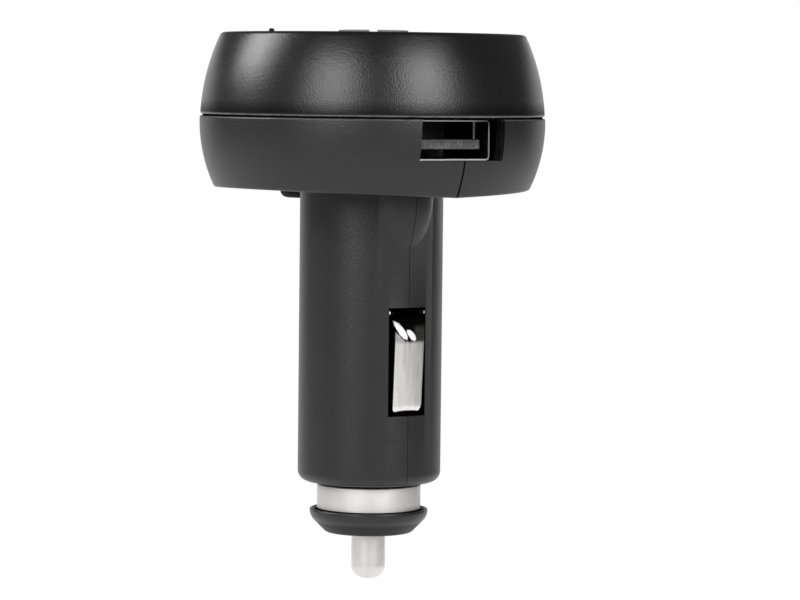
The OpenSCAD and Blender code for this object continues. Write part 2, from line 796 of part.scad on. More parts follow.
module header_pins() {
    row_y = display_board_w / 2 - 1.4;
    color("#c9a64a") for (side = [-1, 1], i = [0:header_count - 1])
        translate([(i - (header_count - 1) / 2) * pin_pitch - header_side / 2,
                side * row_y - header_side / 2, board_top])
            cube([header_side, header_side, display_board_z - board_top]);
}

// The shell's rounded outline, drawn in by inset
module shell_outline(inset) {
    w = usb_w / 2 - inset;
    r = usb_corner_r - inset;
    polygon(rounded([
        [-w, inset, r], [w, inset, r], [w, usb_h - inset, r], [-w, usb_h - inset, r]
    ]));
}

module usb_shell() {
    color("#c8cacc") translate([0, -usb_mouth + usb_depth, usb_z]) rotate([90, 0, 0])
        linear_extrude(usb_depth) difference() {
            shell_outline(0);
            shell_outline(usb_sheet);
        }
}

module usb_insulator() {
    back = -usb_mouth + usb_depth;
    color("#e8e8e6") difference() {
        union() {
            translate([0, back, usb_z]) rotate([90, 0, 0])
                linear_extrude(usb_block_t) shell_outline(usb_sheet);
            translate([-tongue_w / 2, -usb_mouth + tongue_back, usb_z + tongue_lift])
                cube([tongue_w, usb_depth - tongue_back - JOIN, tongue_t]);
        }
        usb_strips();
    }
}

// Four strips along the tongue's upper side, each turned up to the board behind the block
module usb_strips() {
    z = usb_z + tongue_lift + tongue_t - strip_t;
    back = -usb_mouth + usb_depth;
    for (x = [-strip_outer, -strip_inner, strip_inner, strip_outer]) {
        translate([x - strip_w / 2, -usb_mouth + tongue_back + 0.8, z])
            cube([strip_w, usb_depth - tongue_back - 0.8 + 2 * strip_t, strip_t]);
        translate([x - strip_w / 2, back + strip_t, z]) cube([strip_w, strip_t, board_z - z]);
    }
}

module usb_contacts() {
    color("#d8b45a") usb_strips();
}

// Puts a component that is drawn upwards from z = 0 under the board
module under_board(x, y) {
    translate([x, y, board_z]) mirror([0, 0, 1]) children();
}

module inductor_core() {
    color("#3b3b3d") under_board(-beside_usb - inductor_r, back_row) turned([
        [0, 0], [inductor_r, 0], [inductor_r, inductor_flange],
        [inductor_post_r, inductor_flange], [inductor_post_r, inductor_h - inductor_flange],
        [inductor_r, inductor_h - inductor_flange], [inductor_r, inductor_h], [0, inductor_h]
    ]);
}

module inductor_winding() {
    room = inductor_h - 2 * inductor_flange;
    turns = floor(room / winding_wire);
    first = inductor_flange + (room - (turns - 1) * winding_wire) / 2;
    outer = inductor_r - winding_wire;
    color("#b4652e") under_board(-beside_usb - inductor_r, back_row) rotate_extrude() {
        translate([inductor_post_r, inductor_flange])
            square([outer - inductor_post_r, room]);
        for (i = [0:turns - 1]) translate([outer, first + i * winding_wire])
            circle(r = winding_wire / 2, $fn = 24);
    }
}

// A can with a rolled bead near its foot and a flat sleeve edge at its top
module capacitor(r, h) {
    bead = 1.4;
    turned(rounded([
        [0, 0, 0], [r, 0, 0.3], [r, bead - 0.4, 0.1], [r - 0.35, bead, 0.2],
        [r, bead + 0.4, 0.1], [r, h, 0.4], [0, h, 0]
    ]));
}

module input_capacitor() {
    color("#2c3e66") under_board(beside_usb + input_cap_r, back_row)
        capacitor(input_cap_r, input_cap_h);
}

module output_capacitor() {
    color("#2c3e66") under_board(beside_usb + output_cap_r, front_row)
        capacitor(output_cap_r, output_cap_h);
}

module controller_chip() {
    stand_off = chip_lead / 2;
    color("#17181a") under_board(-beside_usb - chip_l / 2, chip_row) {
        translate([-chip_l / 2, -chip_w / 2, stand_off])
            cube([chip_l, chip_w, chip_h - stand_off]);
        for (side = [0, 1], i = [-1.5:1.5]) mirror([0, side, 0])
            translate([i * chip_pitch - chip_lead, chip_w / 2 - chip_lead, 0]) {
                translate([0, 0, chip_h / 2]) cube([2 * chip_lead, 3 * chip_lead, chip_lead]);
                translate([0, 2 * chip_lead, 0]) cube([2 * chip_lead, chip_lead, chip_h / 2 + JOIN / 4]);
            }
    }
}

module indicator_led() {
    color("#e6e2c8") translate([-lens_at - led_l / 2, -led_l / 4, board_top]) {
        cube([led_l, led_l / 2, led_h * 0.4]);
        translate([led_l / 6, 0, 0]) cube([led_l * 2 / 3, led_l / 2, led_h]);
    }
}

// A strip of the contact's metal along a path, of a given width
module leaf_strip(path, w) {
    translate([w / 2, 0, 0]) rotate([90, 0, -90]) linear_extrude(w) polygon(strip(path, leaf_t));
}

// One side contact at -Y: it turns on its rolled end, and its tail catches behind the wall
module side_contact() {
    low = -slot_end + leaf_end_gap + leaf_t / 2;
    tail_r = bore_r - tail_in;
    path = rounded_path([
        [eye_at, eye_z], [bore_r - ramp_in, -slot_drop + pass_gap, 0.8],
        [leaf_mid_r, -slot_drop - crest_drop, crest_bend_r],
        [leaf_mid_r, -(slot_drop + slot_end) / 2, 20],
        [leaf_mid_r - leaf_lean, low, 1], [tail_r, low, 0.4], [tail_r, low - tail_len]
    ]);
    leaf_strip(path, leaf_w);
    intersection() {
        leaf_strip(path, ear_w);
        translate([-slot_w, -barrel_r, -slot_drop - ear_h - pass_gap]) cube([2 * slot_w, barrel_r, ear_h]);
    }
    translate([0, -eye_at, eye_z]) rotate([0, 90, 0])
        cylinder(h = eye_len, r = eye_r, center = true);
}

module front_side_contact() {
    color("#cfd0d2") side_contact();
}

module rear_side_contact() {
    color("#cfd0d2") rotate([0, 0, 180]) side_contact();
}

module ground_ring() {
    color("#c3a25a") translate([0, 0, eye_web_top + seat_gap]) difference() {
        cylinder(h = ring_t, r = bore_r - pass_gap);
        translate([0, 0, -1]) cylinder(h = ring_t + 2, r = chamber_r + 1);
    }
}

// A straight insulated lead up to the main board
module lead(y, z) {
    translate([0, y, z]) cylinder(h = board_z - z, r = lead_r);
}

module ground_lead() {
    color("#1c1c1e") lead(eye_at, eye_web_top + seat_gap + ring_t);
}

module positive_lead() {
    color("#9c2320") lead(0, top_web_z);
}

module spring_terminal() {
    nub_r = spring_r - spring_wire / 2 - 0.2;
    color("#c3a25a") translate([0, 0, terminal_z]) {
        cylinder(h = terminal_t, r = terminal_r);
        translate([0, 0, -1]) cylinder(h = 1 + terminal_t / 2, r = nub_r);
    }
}

// A coil spring, swept as rings of points along its helix, with its ends laid flat
module pin_spring() {
    sides = 6;
    per_turn = 16;
    steps = round(spring_turns * per_turn);
    rise = spring_len - spring_wire - 2 * seat_gap;
    flat = 0.75 * per_turn;
    function climb(i) = min(max((i - flat) / (steps - 2 * flat), 0), 1);
    function centre(i) =
        [each polar(spring_r, 360 * i / per_turn), seat_gap + spring_wire / 2 + rise * climb(i)];
    function ring(i) = [
        for (k = [0:sides - 1])
            let (out = spring_wire / 2 * cos(360 * k / sides))
            let (up = spring_wire / 2 * sin(360 * k / sides))
            centre(i) + [each polar(out, 360 * i / per_turn), up]
    ];
    color("#b9bcc0") translate([0, 0, fuse_top]) polyhedron(
        points = [for (i = [0:steps]) each ring(i)],
        faces = concat(
            [[for (k = [0:sides - 1]) k]],
            [for (i = [0:steps - 1], k = [0:sides - 1])
                let (a = i * sides + k, b = i * sides + (k + 1) % sides)
                each [[a, a + sides, b], [b, a + sides, b + sides]]],
            [[for (k = [sides - 1:-1:0]) steps * sides + k]]
        )
    );
}

module fuse_tube() {
    color([0.85, 0.9, 0.92, 0.5]) translate([0, 0, fuse_z + 0.6]) difference() {
        cylinder(h = fuse_len - 1.2, r = fuse_glass_r);
        translate([0, 0, -1]) cylinder(h = fuse_len + 2, r = fuse_glass_r - fuse_glass_t);
    }
}

module fuse_caps() {
    color("#c9cbce") translate([0, 0, fuse_z + fuse_len / 2]) for (end = [0, 1])
        mirror([0, 0, end]) translate([0, 0, fuse_len / 2 - fuse_cap_len]) difference() {
            turned(rounded([
                [0, 0, 0], [fuse_r, 0, 0], [fuse_r, fuse_cap_len, 0.4], [0, fuse_cap_len, 0]
            ]));
            translate([0, 0, -1]) cylinder(h = fuse_cap_len + 0.4, r = fuse_glass_r);
        }
}

module fuse_wire() {
    color("#a9acb0") translate([0, 0, fuse_z + 0.6])
        cylinder(h = fuse_len - 1.2, r = fuse_wire_r, $fn = 24);
}

module contact_pin() {
    tip = nose_end - pin_out;
    head_top = pin_seat + pin_head_h;
    color("#c2c4c6") difference() {
        turned(rounded([
            [0, tip, 0], [pin_r, tip, pin_end_r], [pin_r, pin_seat, 0],
            [pin_head_r, pin_seat, 0.3], [pin_head_r, head_top, 0.3], [0, head_top, 0]
        ]));
        translate([0, 0, fuse_z]) cylinder(h = pin_cup + 1, r = fuse_r + run_gap);
    }
}

module tip_sleeve() {
    flange_r = bore_r - pass_gap / 2;
    neck_z = pin_seat + seat_gap;
    color("#b5b7b9") difference() {
        turned([
            [0, neck_z], [neck_r, neck_z], [neck_r, nose_top], [sleeve_r, nose_top],
            [sleeve_r, flange_z], [flange_r, flange_z],
            [flange_r, flange_z + sleeve_flange_t], [0, flange_z + sleeve_flange_t]
        ]);
        translate([0, 0, neck_z - 1])
            cylinder(h = flange_z + sleeve_flange_t - neck_z + 2, r = pin_head_r + run_gap);
    }
}

module nose_cap() {
    shoulder_z = nose_top - nose_lip_h;
    side_z = shoulder_z - nose_rim_h;
    color("#2a2a2c") difference() {
        turned(rounded([
            [0, nose_end, 0], [nose_r - nose_slope, nose_end, 0.6], [nose_r, side_z, 2],
            [nose_r, shoulder_z, 0.2], [sleeve_r + seat_gap, nose_top, 0], [0, nose_top, 0]
        ]));
        translate([0, 0, pin_seat]) cylinder(h = nose_h, r = neck_r + seat_gap);
        translate([0, 0, nose_end - 1]) cylinder(h = nose_floor + 2, r = pin_r + run_gap);
    }
}

left_housing();
right_housing();
top_cover();
display_window();
indicator_lens();
underside_plug();
cover_screw();
main_board();
display_board();
display_module();
header_pins();
usb_shell();
usb_insulator();
usb_contacts();
inductor_core();
inductor_winding();
input_capacitor();
output_capacitor();
controller_chip();
indicator_led();
front_side_contact();
rear_side_contact();
ground_ring();
ground_lead();
positive_lead();
spring_terminal();
pin_spring();
fuse_tube();
fuse_caps();
fuse_wire();
contact_pin();
tip_sleeve();
nose_cap();
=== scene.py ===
import math

import bmesh
import bpy
from mathutils import Matrix, Vector


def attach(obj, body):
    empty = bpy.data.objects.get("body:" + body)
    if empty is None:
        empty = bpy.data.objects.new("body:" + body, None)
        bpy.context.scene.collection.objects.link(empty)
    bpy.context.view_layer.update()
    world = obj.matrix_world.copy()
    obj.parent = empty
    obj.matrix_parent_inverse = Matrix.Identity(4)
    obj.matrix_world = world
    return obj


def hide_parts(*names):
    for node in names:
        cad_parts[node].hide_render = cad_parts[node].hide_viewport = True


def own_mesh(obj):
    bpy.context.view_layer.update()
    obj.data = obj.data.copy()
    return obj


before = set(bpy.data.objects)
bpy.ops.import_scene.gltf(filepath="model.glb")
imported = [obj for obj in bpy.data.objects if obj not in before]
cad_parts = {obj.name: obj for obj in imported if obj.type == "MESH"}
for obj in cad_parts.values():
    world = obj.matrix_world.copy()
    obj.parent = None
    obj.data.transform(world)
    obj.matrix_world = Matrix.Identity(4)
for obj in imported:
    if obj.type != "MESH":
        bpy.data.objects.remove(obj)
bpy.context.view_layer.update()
mm = 0.001
wide = 200  # a reach beyond the whole object, for cuts that run out of it

# Sizes are in millimetres in the frame of the solids: the barrel's axis is Z, the origin is at
# the shoulder, the USB socket faces -Y and the housing halves meet in the plane x = 0.


# Outlines
def arc(centre, radius, start, end, steps):
    points = []
    for i in range(steps + 1):
        a = math.radians(start + (end - start) * i / steps)
        points.append((centre[0] + radius * math.cos(a), centre[1] + radius * math.sin(a)))
    return points


def roundCorner(before, at, after, radius, steps):
    at = Vector(at)
    u = (Vector(before) - at).normalized()
    v = (Vector(after) - at).normalized()
    half = u.angle(v) / 2
    middle = at + (u + v).normalized() * radius / math.sin(half)
    p = at + u * radius / math.tan(half) - middle
    q = at + v * radius / math.tan(half) - middle
    turn = p.angle_signed(q)
    points = []
    for i in range(steps + 1):
        points.append(tuple(middle + Matrix.Rotation(-turn * i / steps, 2) @ p))
    return points


# A path or closed outline whose corners are rounded: each entry is (x, y) or (x, y, radius)
def rounded(points, closed=True, steps=6):
    result = []
    count = len(points)
    for i, point in enumerate(points):
        if len(point) == 2 or (not closed and i in (0, count - 1)):
            result.append(tuple(point[:2]))
            continue
        before = points[i - 1][:2]
        after = points[(i + 1) % count][:2]
        result += roundCorner(before, point[:2], after, point[2], steps)
    return result


# Meshes
def newPiece(name, points, faces, smooth=40):
    mesh = bpy.data.meshes.new(name)
    mesh.from_pydata([[c * mm for c in p] for p in points], [], faces)
    piece = bpy.data.objects.new(name, mesh)
    bpy.context.scene.collection.objects.link(piece)
    tidyMesh(piece, smooth)
    return piece


# Faces are turned outward, turned over, or left as they are, so that an inner hollow stays one
def tidyMesh(piece, smooth=40, turn="outward"):
    merge = 0.0005 * mm  # points closer than this become one
    work = bmesh.new()
    work.from_mesh(piece.data)
    bmesh.ops.remove_doubles(work, verts=work.verts, dist=merge)
    bmesh.ops.dissolve_degenerate(work, edges=work.edges, dist=merge)
    if turn == "outward":
        bmesh.ops.recalc_face_normals(work, faces=work.faces)
    elif turn == "over":
        bmesh.ops.reverse_faces(work, faces=work.faces)
    work.to_mesh(piece.data)
    work.free()
    piece.data.shade_smooth()
    piece.data.set_sharp_from_angle(angle=math.radians(smooth))


# A solid of revolution. The outline is (radius, height) points, or a function of the angle
def lathe(name, profile, steps=192, centre=(0, 0)):
    outlineAt = profile if callable(profile) else lambda angle: profile
    rings = [outlineAt(360 * i / steps) for i in range(steps)]
    count = len(rings[0])
    points = []
    for i, ring in enumerate(rings):
        c = math.cos(math.radians(360 * i / steps))
        s = math.sin(math.radians(360 * i / steps))
        points += [(centre[0] + r * c, centre[1] + r * s, z) for r, z in ring]
    faces = []
    for i in range(steps):
        a = i * count
        b = ((i + 1) % steps) * count
        for j in range(count):
            k = (j + 1) % count
            if rings[0][j][0] < 1e-6 and rings[0][k][0] < 1e-6:
                continue
            faces.append((a + j, b + j, b + k, a + k))
    return newPiece(name, points, faces)


def rod(name, radius, low, high, centre=(0, 0), steps=96):
    return lathe(name, [(0, low), (radius, low), (radius, high), (0, high)], steps, centre)


# A box, with its edges rounded where edge says how far
def block(name, low, high, edge=0.0):
    points = [(x, y, z) for x in (low[0], high[0]) for y in (low[1], high[1])
              for z in (low[2], high[2])]
    faces = [(0, 1, 3, 2), (4, 6, 7, 5), (0, 4, 5, 1), (2, 3, 7, 6), (0, 2, 6, 4), (1, 5, 7, 3)]
    piece = newPiece(name, points, faces)
    if edge:
        work = bmesh.new()
        work.from_mesh(piece.data)
        bmesh.ops.bevel(work, geom=work.edges[:], offset=edge * mm, segments=3, profile=0.5,
                        affect="EDGES")
        work.to_mesh(piece.data)
        work.free()
        tidyMesh(piece)
    return piece


# A closed outline drawn in a plane and pushed along the third axis from low to high
def prism(name, points, axis, low, high):
    order = {"x": (2, 0, 1), "y": (0, 2, 1), "z": (0, 1, 2)}[axis]
    corners = []
    for level in (low, high):
        for p in points:
            local = (p[0], p[1], level)
            corners.append(tuple(local[order[i]] for i in range(3)))
    count = len(points)
    faces = [tuple(range(count)), tuple(range(2 * count - 1, count - 1, -1))]
    for i in range(count):
        j = (i + 1) % count
        faces.append((i, i + count, j + count, j))
    return newPiece(name, corners, faces)


def place(piece, matrix):
    piece.data.transform(matrix)
    return piece


def shifted(piece, x=0, y=0, z=0):
    return place(piece, Matrix.Translation(Vector((x, y, z)) * mm))


def turned(piece, degrees, axis="Z", about=(0, 0, 0)):
    move = Matrix.Translation(Vector(about) * mm)
    return place(piece, move @ Matrix.Rotation(math.radians(degrees), 4, axis) @ move.inverted())


# Puts the result of a piece's modifiers in its mesh
def settle(piece):
    bpy.context.view_layer.update()
    graph = bpy.context.evaluated_depsgraph_get()
    mesh = bpy.data.meshes.new_from_object(piece.evaluated_get(graph))
    piece.modifiers.clear()
    old = piece.data
    piece.data = mesh
    bpy.data.meshes.remove(old)
    return piece


def combine(piece, operation, *tools):
    for tool in tools:
        step = piece.modifiers.new(operation.lower(), "BOOLEAN")
        step.operation = operation
        step.solver = "MANIFOLD"
        step.object = tool
    settle(piece)
    for tool in tools:
        bpy.data.objects.remove(tool)
    tidyMesh(piece, turn="as it is")
    return piece


def cut(piece, *tools):
    return combine(piece, "DIFFERENCE", *tools)


def join(piece, *tools):
    return combine(piece, "UNION", *tools)


def keep(piece, *tools):
    return combine(piece, "INTERSECT", *tools)


def copyOf(piece, name):
    twin = bpy.data.objects.new(name, piece.data.copy())
    bpy.context.scene.collection.objects.link(twin)
    return twin


def mirrored(piece, name, axis):
    twin = copyOf(piece, name)
    flip = [-1 if a == axis else 1 for a in "xyz"]
    twin.data.transform(Matrix.Diagonal((*flip, 1)))
    tidyMesh(twin, turn="over")
    return twin


# Gives a piece its material and body, and hides the solid that it stands for
def finished(piece, body, material, node):
    piece.data.materials.clear()
    piece.data.materials.append(material)
    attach(piece, body)
    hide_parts(node)


# Materials: a small graph of sockets
class Wire:  # one socket: arithmetic on it adds Math nodes
    def __init__(self, graph, socket):
        self.graph = graph
        self.socket = socket

    def math(self, operation, *values):
        inputs = dict(enumerate(values))
        return self.graph.add("ShaderNodeMath", {"operation": operation}, inputs)

    def __add__(self, other):
        return self.math("ADD", self, other)

    __radd__ = __add__

    def __sub__(self, other):
        return self.math("SUBTRACT", self, other)

    def __rsub__(self, other):
        return self.math("SUBTRACT", other, self)

    def __mul__(self, other):
        return self.math("MULTIPLY", self, other)

    __rmul__ = __mul__

    def __truediv__(self, other):
        return self.math("DIVIDE", self, other)

    def __rtruediv__(self, other):
        return self.math("DIVIDE", other, self)

    def __pow__(self, other):
        return self.math("POWER", self, other)

    def size(self):
        return self.math("ABSOLUTE", self)


class Finish:  # a material and the nodes that make it
    def __init__(self, name):
        self.material = bpy.data.materials.new(name)
        self.material.use_nodes = True
        self.tree = self.material.node_tree
        self.tree.nodes.clear()
        self.spot = self.add("ShaderNodeTexCoord", output="Object")

    def add(self, kind, settings=None, inputs=None, output=0):
        node = self.tree.nodes.new(kind)
        for key, value in (settings or {}).items():
            if key == "stops":
                ramp = node.color_ramp.elements
                while len(ramp) < len(value):
                    ramp.new(0.5)
                for stop, (position, level) in zip(ramp, value):
                    stop.position = position
                    stop.color = (level, level, level, 1)
            else:
                setattr(node, key, value)
        for key, value in (inputs or {}).items():
            if isinstance(value, Wire):
                self.tree.links.new(value.socket, node.inputs[key])
            else:
                node.inputs[key].default_value = value
        return Wire(self, node.outputs[output])

    # Noise whose features are about size millimetres, each axis stretched by its own factor
    def noise(self, size, detail=2, roughness=0.5, stretch=(1, 1, 1), offset=(0, 0, 0)):
        spot = self.spot
        if stretch != (1, 1, 1) or offset != (0, 0, 0):
            spot = self.add("ShaderNodeMapping", {}, {
                "Vector": spot, "Location": offset, "Scale": [1 / s for s in stretch]})
        return self.add("ShaderNodeTexNoise", {}, {
            "Vector": spot, "Scale": 1000 / size, "Detail": detail, "Roughness": roughness})

    # One coordinate of the frame, in millimetres
    def place(self, axis):
        return self.add("ShaderNodeSeparateXYZ", {}, {"Vector": self.spot}, axis) * 1000

    # The distance from the barrel's axis, in millimetres
    def radius(self):
        x, y = self.place("X"), self.place("Y")
        return (x * x + y * y) ** 0.5

    def cells(self, size, feature="SMOOTH_F1", smoothness=0.5):
        inputs = {"Vector": self.spot, "Scale": 1000 / size}
        if feature == "SMOOTH_F1":
            inputs["Smoothness"] = smoothness
        return self.add("ShaderNodeTexVoronoi", {"feature": feature}, inputs)

    def ramp(self, value, *stops):
        return self.add("ShaderNodeValToRGB", {"stops": stops}, {"Fac": value})

    def mix(self, share, first, second):
        settings = {"data_type": "RGBA", "blend_type": "MIX"}
        values = {0: share, 6: first, 7: second}
        for key in (6, 7):
            if not isinstance(values[key], Wire):
                values[key] = (*values[key][:3], 1)
        return self.add("ShaderNodeMix", settings, values, 2)

    def bump(self, height, depth):
        inputs = {"Height": height, "Distance": depth * mm, "Strength": 1.0}
        return self.add("ShaderNodeBump", {}, inputs)

    # The surface itself: plain values are set on their sockets, wires are linked
    def surface(self, colour, rough, normal=None, paintedLightAndMatte=None, tone=0.003, **values):
        inputs = {"Base Color": colour, "Roughness": rough}
        if not isinstance(colour, Wire):
            inputs["Base Color"] = (*colour[:3], 1)
        if normal:
            inputs["Normal"] = normal
        names = {"metal": "Metallic", "clear": "Transmission Weight", "coat": "Coat Weight",
                 "coatRough": "Coat Roughness", "ior": "IOR"}
        for key, value in values.items():
            inputs[names[key]] = value
        shader = self.add("ShaderNodeBsdfPrincipled", {}, inputs, "BSDF")
        if paintedLightAndMatte:  # the share of the surface that is a flat diffuse of this tone: painted shade, a painted highlight and a matte finish use it
            flat = self.add("ShaderNodeBsdfDiffuse", {}, {"Color": (tone, tone, tone, 1)})
            shader = self.add("ShaderNodeMixShader", {}, {0: paintedLightAndMatte, 1: shader, 2: flat})
        out = self.tree.nodes.new("ShaderNodeOutputMaterial")
        self.tree.links.new(shader.socket, out.inputs["Surface"])
        return self.material


def grey(level, warm=0.0):
    return (level * (1 + warm), level, level * (1 - warm))


# Near 1 where value is above the level, over a span
def above(value, level, span):
    return value.graph.ramp((value - level) / span + 0.5, (0.0, 0.0), (1.0, 1.0))


# Where a moulding is painted as a flat dark diffuse, a painted shade: inside the slots and the
# socket's notch, down in the seam, on the cover's lower edge and on the nose cap's slope. The plug
# is flat all over, a matte finish
paintedLightAndMatte = {"slotRadius": 10.35, "slotTop": -1.0, "slotFoot": -36.0, "slotShare": 0.85,
        "notchRadius": 24.3, "notchFoot": 5.15, "notchShare": 0.6, "seamFloor": 11.16,
        "ringRadius": 25.02, "ringTop": 11.45, "edgeFoot": 11.75, "edgeTop": 12.9,
        "edgeShare": 0.62, "plugShare": 0.75, "plugSpread": 0.1, "slopeTop": -48.4,
        "slopeShare": 0.45}


# painted shade in the housing's slots, its socket notch and its edge in the seam
def housingPaintedShade(finish):
    radius, z = finish.radius(), finish.place("Z")
    slot = (1 - above(radius, paintedLightAndMatte["slotRadius"], 0.1)) * (1 - above(z, paintedLightAndMatte["slotTop"], 0.5))
    slot = slot * above(z, paintedLightAndMatte["slotFoot"], 1.0)
    notch = (1 - above(radius, paintedLightAndMatte["notchRadius"], 0.3)) * above(z, paintedLightAndMatte["notchFoot"], 0.1)
    seam = above(z, paintedLightAndMatte["seamFloor"], 0.05) * (1 - notch)
    return slot * paintedLightAndMatte["slotShare"] + notch * paintedLightAndMatte["notchShare"] + seam


# painted shade on the cover's ring in the seam and on a band along its lower edge
def coverPaintedShade(finish):
    z = finish.place("Z")
    ring = 1 - above(finish.radius(), paintedLightAndMatte["ringRadius"], 0.06)
    edge = (1 - above(z, paintedLightAndMatte["edgeTop"], 1.6)) * above(z, paintedLightAndMatte["edgeFoot"], 0.1)
    return ring * (1 - above(z, paintedLightAndMatte["ringTop"], 0.05)) + edge * paintedLightAndMatte["edgeShare"]


def dullPlug(finish):
    return paintedLightAndMatte["plugShare"] + finish.noise(1.0) * paintedLightAndMatte["plugSpread"]


# painted shade on the nose cap's lower slope
def nosePaintedShade(finish):
    return (1 - above(finish.place("Z"), paintedLightAndMatte["slopeTop"], 0.6)) * paintedLightAndMatte["slopeShare"]


# Moulded black plastic: a grain of cells and noise, colour and gloss that vary a little
def mouldedPlastic(name, look, paintedShadeAndMatte=None):
    finish = Finish(name)
    cells = finish.cells(look["grain"], smoothness=look["soft"])
    fine = finish.noise(look["fine"], 3, 0.6)
    broad = finish.noise(9, 3, 0.55)
    height = cells * look["cellShare"] + fine * (1 - look["cellShare"])
    normal = finish.bump(height, look["depth"])
    shade = finish.ramp(broad, (0.3, 0.0), (0.7, 1.0))
    low = grey(look["colour"] * 0.88)
    high = grey(look["colour"] * 1.12)
    colour = finish.mix(shade, low, high)
    if "line" in look:  # a paler line painted between two heights: a painted highlight on the rounded edges at the seam
        low, high, level = look["line"]
        z = finish.place("Z")
        near = above(z, low, 0.06) * (1 - above(z, high, 0.06))
        highlightPatches = finish.ramp(finish.noise(1.2, 3, 0.6), (0.3, 0.45), (0.65, 1.0))
        colour = finish.mix(near * highlightPatches, colour, grey(level))
    rough = look["rough"] + (broad - 0.5) * look["roughSpread"] + (fine - 0.5) * 0.08
    if "lowRough" in look:  # rougher below a height, over a span
        more, level, span = look["lowRough"]
        rough = rough + (1 - above(finish.place("Z"), level, span)) * more
    # painted shade where the moulding is shaded, and the plug's matte share
    flat = paintedShadeAndMatte(finish) if paintedShadeAndMatte else None
    return finish.surface(colour, rough, normal, flat, ior=1.58)


# Metal with fine marks: stretch says which way they run, size how close they lie
def markedMetal(name, look):
    finish = Finish(name)
    marks = finish.noise(look["size"], 3, 0.55, look["stretch"])
    broad = finish.noise(look["broad"], 2, 0.5)
    normal = finish.bump(marks, look["depth"])
    rough = look["rough"] + (marks - 0.5) * look["roughSpread"]
    tone = finish.ramp(broad, (0.3, 0.0), (0.7, 1.0))
    base = look["colour"]
    low = [c * (1 - look["spread"]) for c in base]
    high = [min(1, c * (1 + look["spread"])) for c in base]
    colour = finish.mix(tone, low, high)
    if "paintedShadeOutside" in look:  # painted shade: black outside these heights, over 0.6 / 8 mm, for the shaded gaps under the barrel and above the nose cap
        low, high = look["paintedShadeOutside"]
        off = (finish.place("Z") - (low + high) / 2).size() - (high - low) / 2
        paintedShade = finish.ramp(off * 8, (0.0, 0.0), (0.6, 1.0))
        colour = finish.mix(paintedShade, colour, (0.01, 0.01, 0.01))
    return finish.surface(colour, rough, normal, metal=1.0)


materials = {
    "housing": mouldedPlastic("housing plastic", {
        "colour": 0.003, "rough": 0.39, "roughSpread": 0.06, "grain": 0.22, "soft": 0.6,
        "fine": 0.12, "cellShare": 0.5, "depth": 0.04, "line": (10.96, 11.14, 0.08)},
        housingPaintedShade),
    "cover": mouldedPlastic("cover plastic", {
        "colour": 0.003, "rough": 0.26, "roughSpread": 0.05, "grain": 0.23, "soft": 0.5,
        "fine": 0.13, "cellShare": 0.6, "depth": 0.03,
        "lowRough": (0.06, 17.5, 6.0), "line": (11.3, 11.6, 0.22)},
        coverPaintedShade),
    "plug": mouldedPlastic("plug plastic", {
        "colour": 0.012, "rough": 0.38, "roughSpread": 0.06, "grain": 0.4, "soft": 0.8,
        "fine": 0.2, "cellShare": 0.4, "depth": 0.01}, dullPlug),
    "nose": mouldedPlastic("nose plastic", {
        "colour": 0.004, "rough": 0.36, "roughSpread": 0.06, "grain": 0.3, "soft": 0.8,
        "fine": 0.12, "cellShare": 0.4, "depth": 0.008}, nosePaintedShade),
    "display": mouldedPlastic("display plastic", {
        "colour": 0.012, "rough": 0.4, "roughSpread": 0.08, "grain": 0.3, "soft": 0.8,
        "fine": 0.1, "cellShare": 0.3, "depth": 0.008}),
    "nickel": markedMetal("bright nickel", {
        "colour": (0.84, 0.83, 0.81), "rough": 0.22, "roughSpread": 0.14, "size": 0.4,
        "stretch": (1, 1, 18), "broad": 1.5, "depth": 0.01, "spread": 0.06}),
    "sleeve": markedMetal("turned sleeve steel", {
        "colour": (0.75, 0.74, 0.73), "rough": 0.58, "roughSpread": 0.12, "size": 0.08,
        "stretch": (30, 30, 1), "broad": 3, "depth": 0.003, "spread": 0.05,
        "paintedShadeOutside": (-46.42, -43.0)}),
    "pin": markedMetal("turned pin steel", {
        "colour": (0.78, 0.77, 0.76), "rough": 0.36, "roughSpread": 0.12, "size": 0.08,
        "stretch": (30, 30, 1), "broad": 2, "depth": 0.003, "spread": 0.05}),
    "brass": markedMetal("stamped brass", {
        "colour": (0.72, 0.52, 0.24), "rough": 0.3, "roughSpread": 0.12, "size": 0.2,
        "stretch": (1, 8, 1), "broad": 2, "depth": 0.003, "spread": 0.1}),
    "spring": markedMetal("drawn spring wire", {
        "colour": (0.55, 0.55, 0.56), "rough": 0.3, "roughSpread": 0.12, "size": 0.15,
        "stretch": (1, 1, 1), "broad": 2, "depth": 0.002, "spread": 0.08}),
    "screw": markedMetal("zinc plated screw", {
        "colour": (0.52, 0.52, 0.53), "rough": 0.34, "roughSpread": 0.14, "size": 0.15,
        "stretch": (1, 1, 1), "broad": 1, "depth": 0.003, "spread": 0.08}),
    "copper": markedMetal("enamelled copper", {
        "colour": (0.60, 0.25, 0.09), "rough": 0.28, "roughSpread": 0.1, "size": 0.2,
        "stretch": (8, 8, 1), "broad": 1.5, "depth": 0.002, "spread": 0.1}),
}


def boardFinish():
    finish = Finish("circuit board")
    tracks = finish.cells(1.6, "DISTANCE_TO_EDGE")
    lines = finish.ramp(tracks, (0.06, 1.0), (0.10, 0.0))
    weave = finish.noise(0.25, 2, 0.5)
    colour = finish.mix(lines, (0.012, 0.085, 0.035), (0.03, 0.17, 0.075))
    normal = finish.bump(lines * 0.8 + weave * 0.2, 0.03)
    return finish.surface(colour, 0.32 + weave * 0.12, normal, coat=0.4, coatRough=0.12)


def ferriteFinish():
    finish = Finish("ferrite")
    grit = finish.noise(0.15, 4, 0.7)
    colour = finish.mix(grit, (0.035, 0.034, 0.036), (0.085, 0.083, 0.086))
    return finish.surface(colour, 0.6 + grit * 0.15, finish.bump(grit, 0.02))


